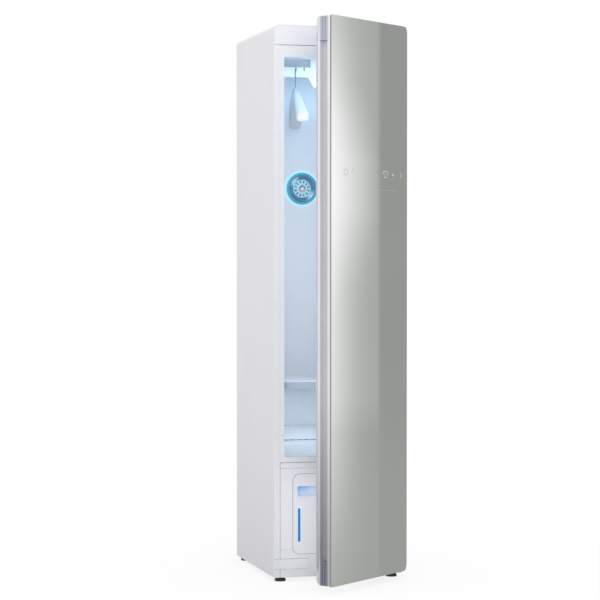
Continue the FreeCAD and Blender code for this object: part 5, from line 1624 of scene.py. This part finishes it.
def level_distance(graph: Graph) -> Wire:
    """Level distance from the origin."""
    x, y, _ = graph.axes(graph.place())
    return (x * x + y * y) ** 0.5


def hide(made: Piece, *rays: str) -> None:
    """Hide an object from some kinds of ray."""
    for ray in rays:
        setattr(made, f"visible_{ray}", False)


def stage_sheet(name: str, corners: list[Vec3], graph: Graph) -> Piece:
    """One quad of the stage.

    Args:
        name: Name of the sheet.
        corners: Its four corners in order.
        graph: The graph of its material.

    Returns:
        The sheet.
    """
    made = mesh_object(name, np.array(corners), np.array([[0, 1, 2, 3]]), smooth=False)
    made.data.materials.append(graph.material)
    return made


@dataclass
class ReflectionCard:
    """Upright card to the right that only reflections see: bright left part, grey right part.

    Its light is the grey, plus a small step left of a sharp edge, plus the height's brightness
    times (1 - u) ** p, where u runs from 0 at the door's free edge to 1 at the sharp edge and p
    is smallest where the card is brightest. The power, the step and the grey are a base and what
    a ramp takes from it or adds to it; the other pairs are the two ends of a span.
    """

    level: float = 1.415
    x: float = 1.2
    y_span: Pair = (-1.6, 1.6)
    z_span: Pair = (-1.4, 3.6)
    edge: Pair = (-0.318, -0.308)
    run: Pair = (-0.495, -0.312)
    stops: tuple[Pair, ...] = (
        (0.04, 0.05), (0.23, 0.27), (0.33, 0.38), (0.52, 0.47), (0.68, 0.63), (0.80, 0.57), (0.95, 0.25)
    )
    stops_span: Pair = (-0.3, 2.1)
    hump_rise: Pair = (0.95, 1.25)
    hump_fall: Pair = (1.45, 1.75)
    power: Pair = (2.1, 1.1)
    step: Pair = (0.04, 0.07)
    step_rise: Pair = (0.4, 0.55)
    grey: Pair = (0.340, 0.025)
    grey_fall: Pair = (0.2, 0.7)
    tint: Vec3 = (0.965, 1.0, 0.945)
    tint_span: Pair = (0.0, 0.4)

    def build(self) -> None:
        """Hang the card."""
        graph = Graph("card_light")
        _, y, z = graph.axes(graph.place())
        left = 1.0 - y.ramp(*self.edge)
        hump = z.ramp(*self.hump_rise) * (1.0 - z.ramp(*self.hump_fall))
        power = self.power[0] - self.power[1] * hump
        glow = self.brightness(graph, z) * (1.0 - y.ramp(*self.run)) ** power
        step = (self.step[0] + self.step[1] * z.ramp(*self.step_rise)) * left
        grey = self.grey[0] + self.grey[1] * (1.0 - z.ramp(*self.grey_fall))
        tint = graph.mix(glow.ramp(*self.tint_span), self.tint, WHITE)
        inputs = {"Color": tint, "Strength": (grey + step + glow * left) * self.level}
        graph.output(graph.node("ShaderNodeEmission", None, inputs, "Emission"))
        (y0, y1), (z0, z1) = self.y_span, self.z_span
        corners = [(self.x, y, z) for y, z in ((y0, z0), (y0, z1), (y1, z1), (y1, z0))]
        made = stage_sheet("reflection_card", corners, graph)
        hide(made, "camera", "diffuse", "shadow", "transmission")

    def brightness(self, graph: Graph, z: Wire) -> Wire:
        """The stops' brightness over the card's height."""
        stops = [(place, (level, level, level)) for place, level in self.stops]
        return graph.node("ShaderNodeValToRGB", {"stops": stops}, {"Fac": z.ramp(*self.stops_span)})


@dataclass
class Viewpoint:
    """Camera that stands left of the cabinet and looks slightly down at it."""

    place: Vec3 = (-1.88937, -6.74624, 1.07558)
    yaw: float = math.radians(15.1658)
    pitch: float = math.radians(1.1716)
    lens: float = 121.07
    sensor: float = 36.0
    nearest: float = 0.05
    furthest: float = 100.0

    def build(self) -> None:
        """Create the camera and make it the scene's."""
        data = bpy.data.cameras.new("camera")
        data.lens = self.lens
        data.sensor_width = self.sensor
        data.clip_start = self.nearest
        data.clip_end = self.furthest
        made = bpy.data.objects.new("camera", data)
        made.location = self.place
        made.rotation_euler = (math.pi / 2 - self.pitch, 0.0, -self.yaw)
        bpy.context.scene.collection.objects.link(made)
        bpy.context.scene.camera = made


def main() -> None:
    """Dress the model, add the fine pieces, and set up studio and camera."""
    logging.basicConfig(level=logging.INFO)
    dressing = Dressing()
    Viewpoint().build()
    for assembly in (Cabinet, DoorSeal, GlazingBead, FrontSeams, TouchMarks):
        assembly(dressing).build()
    Studio().build()


if __name__ == "__main__":
    main()
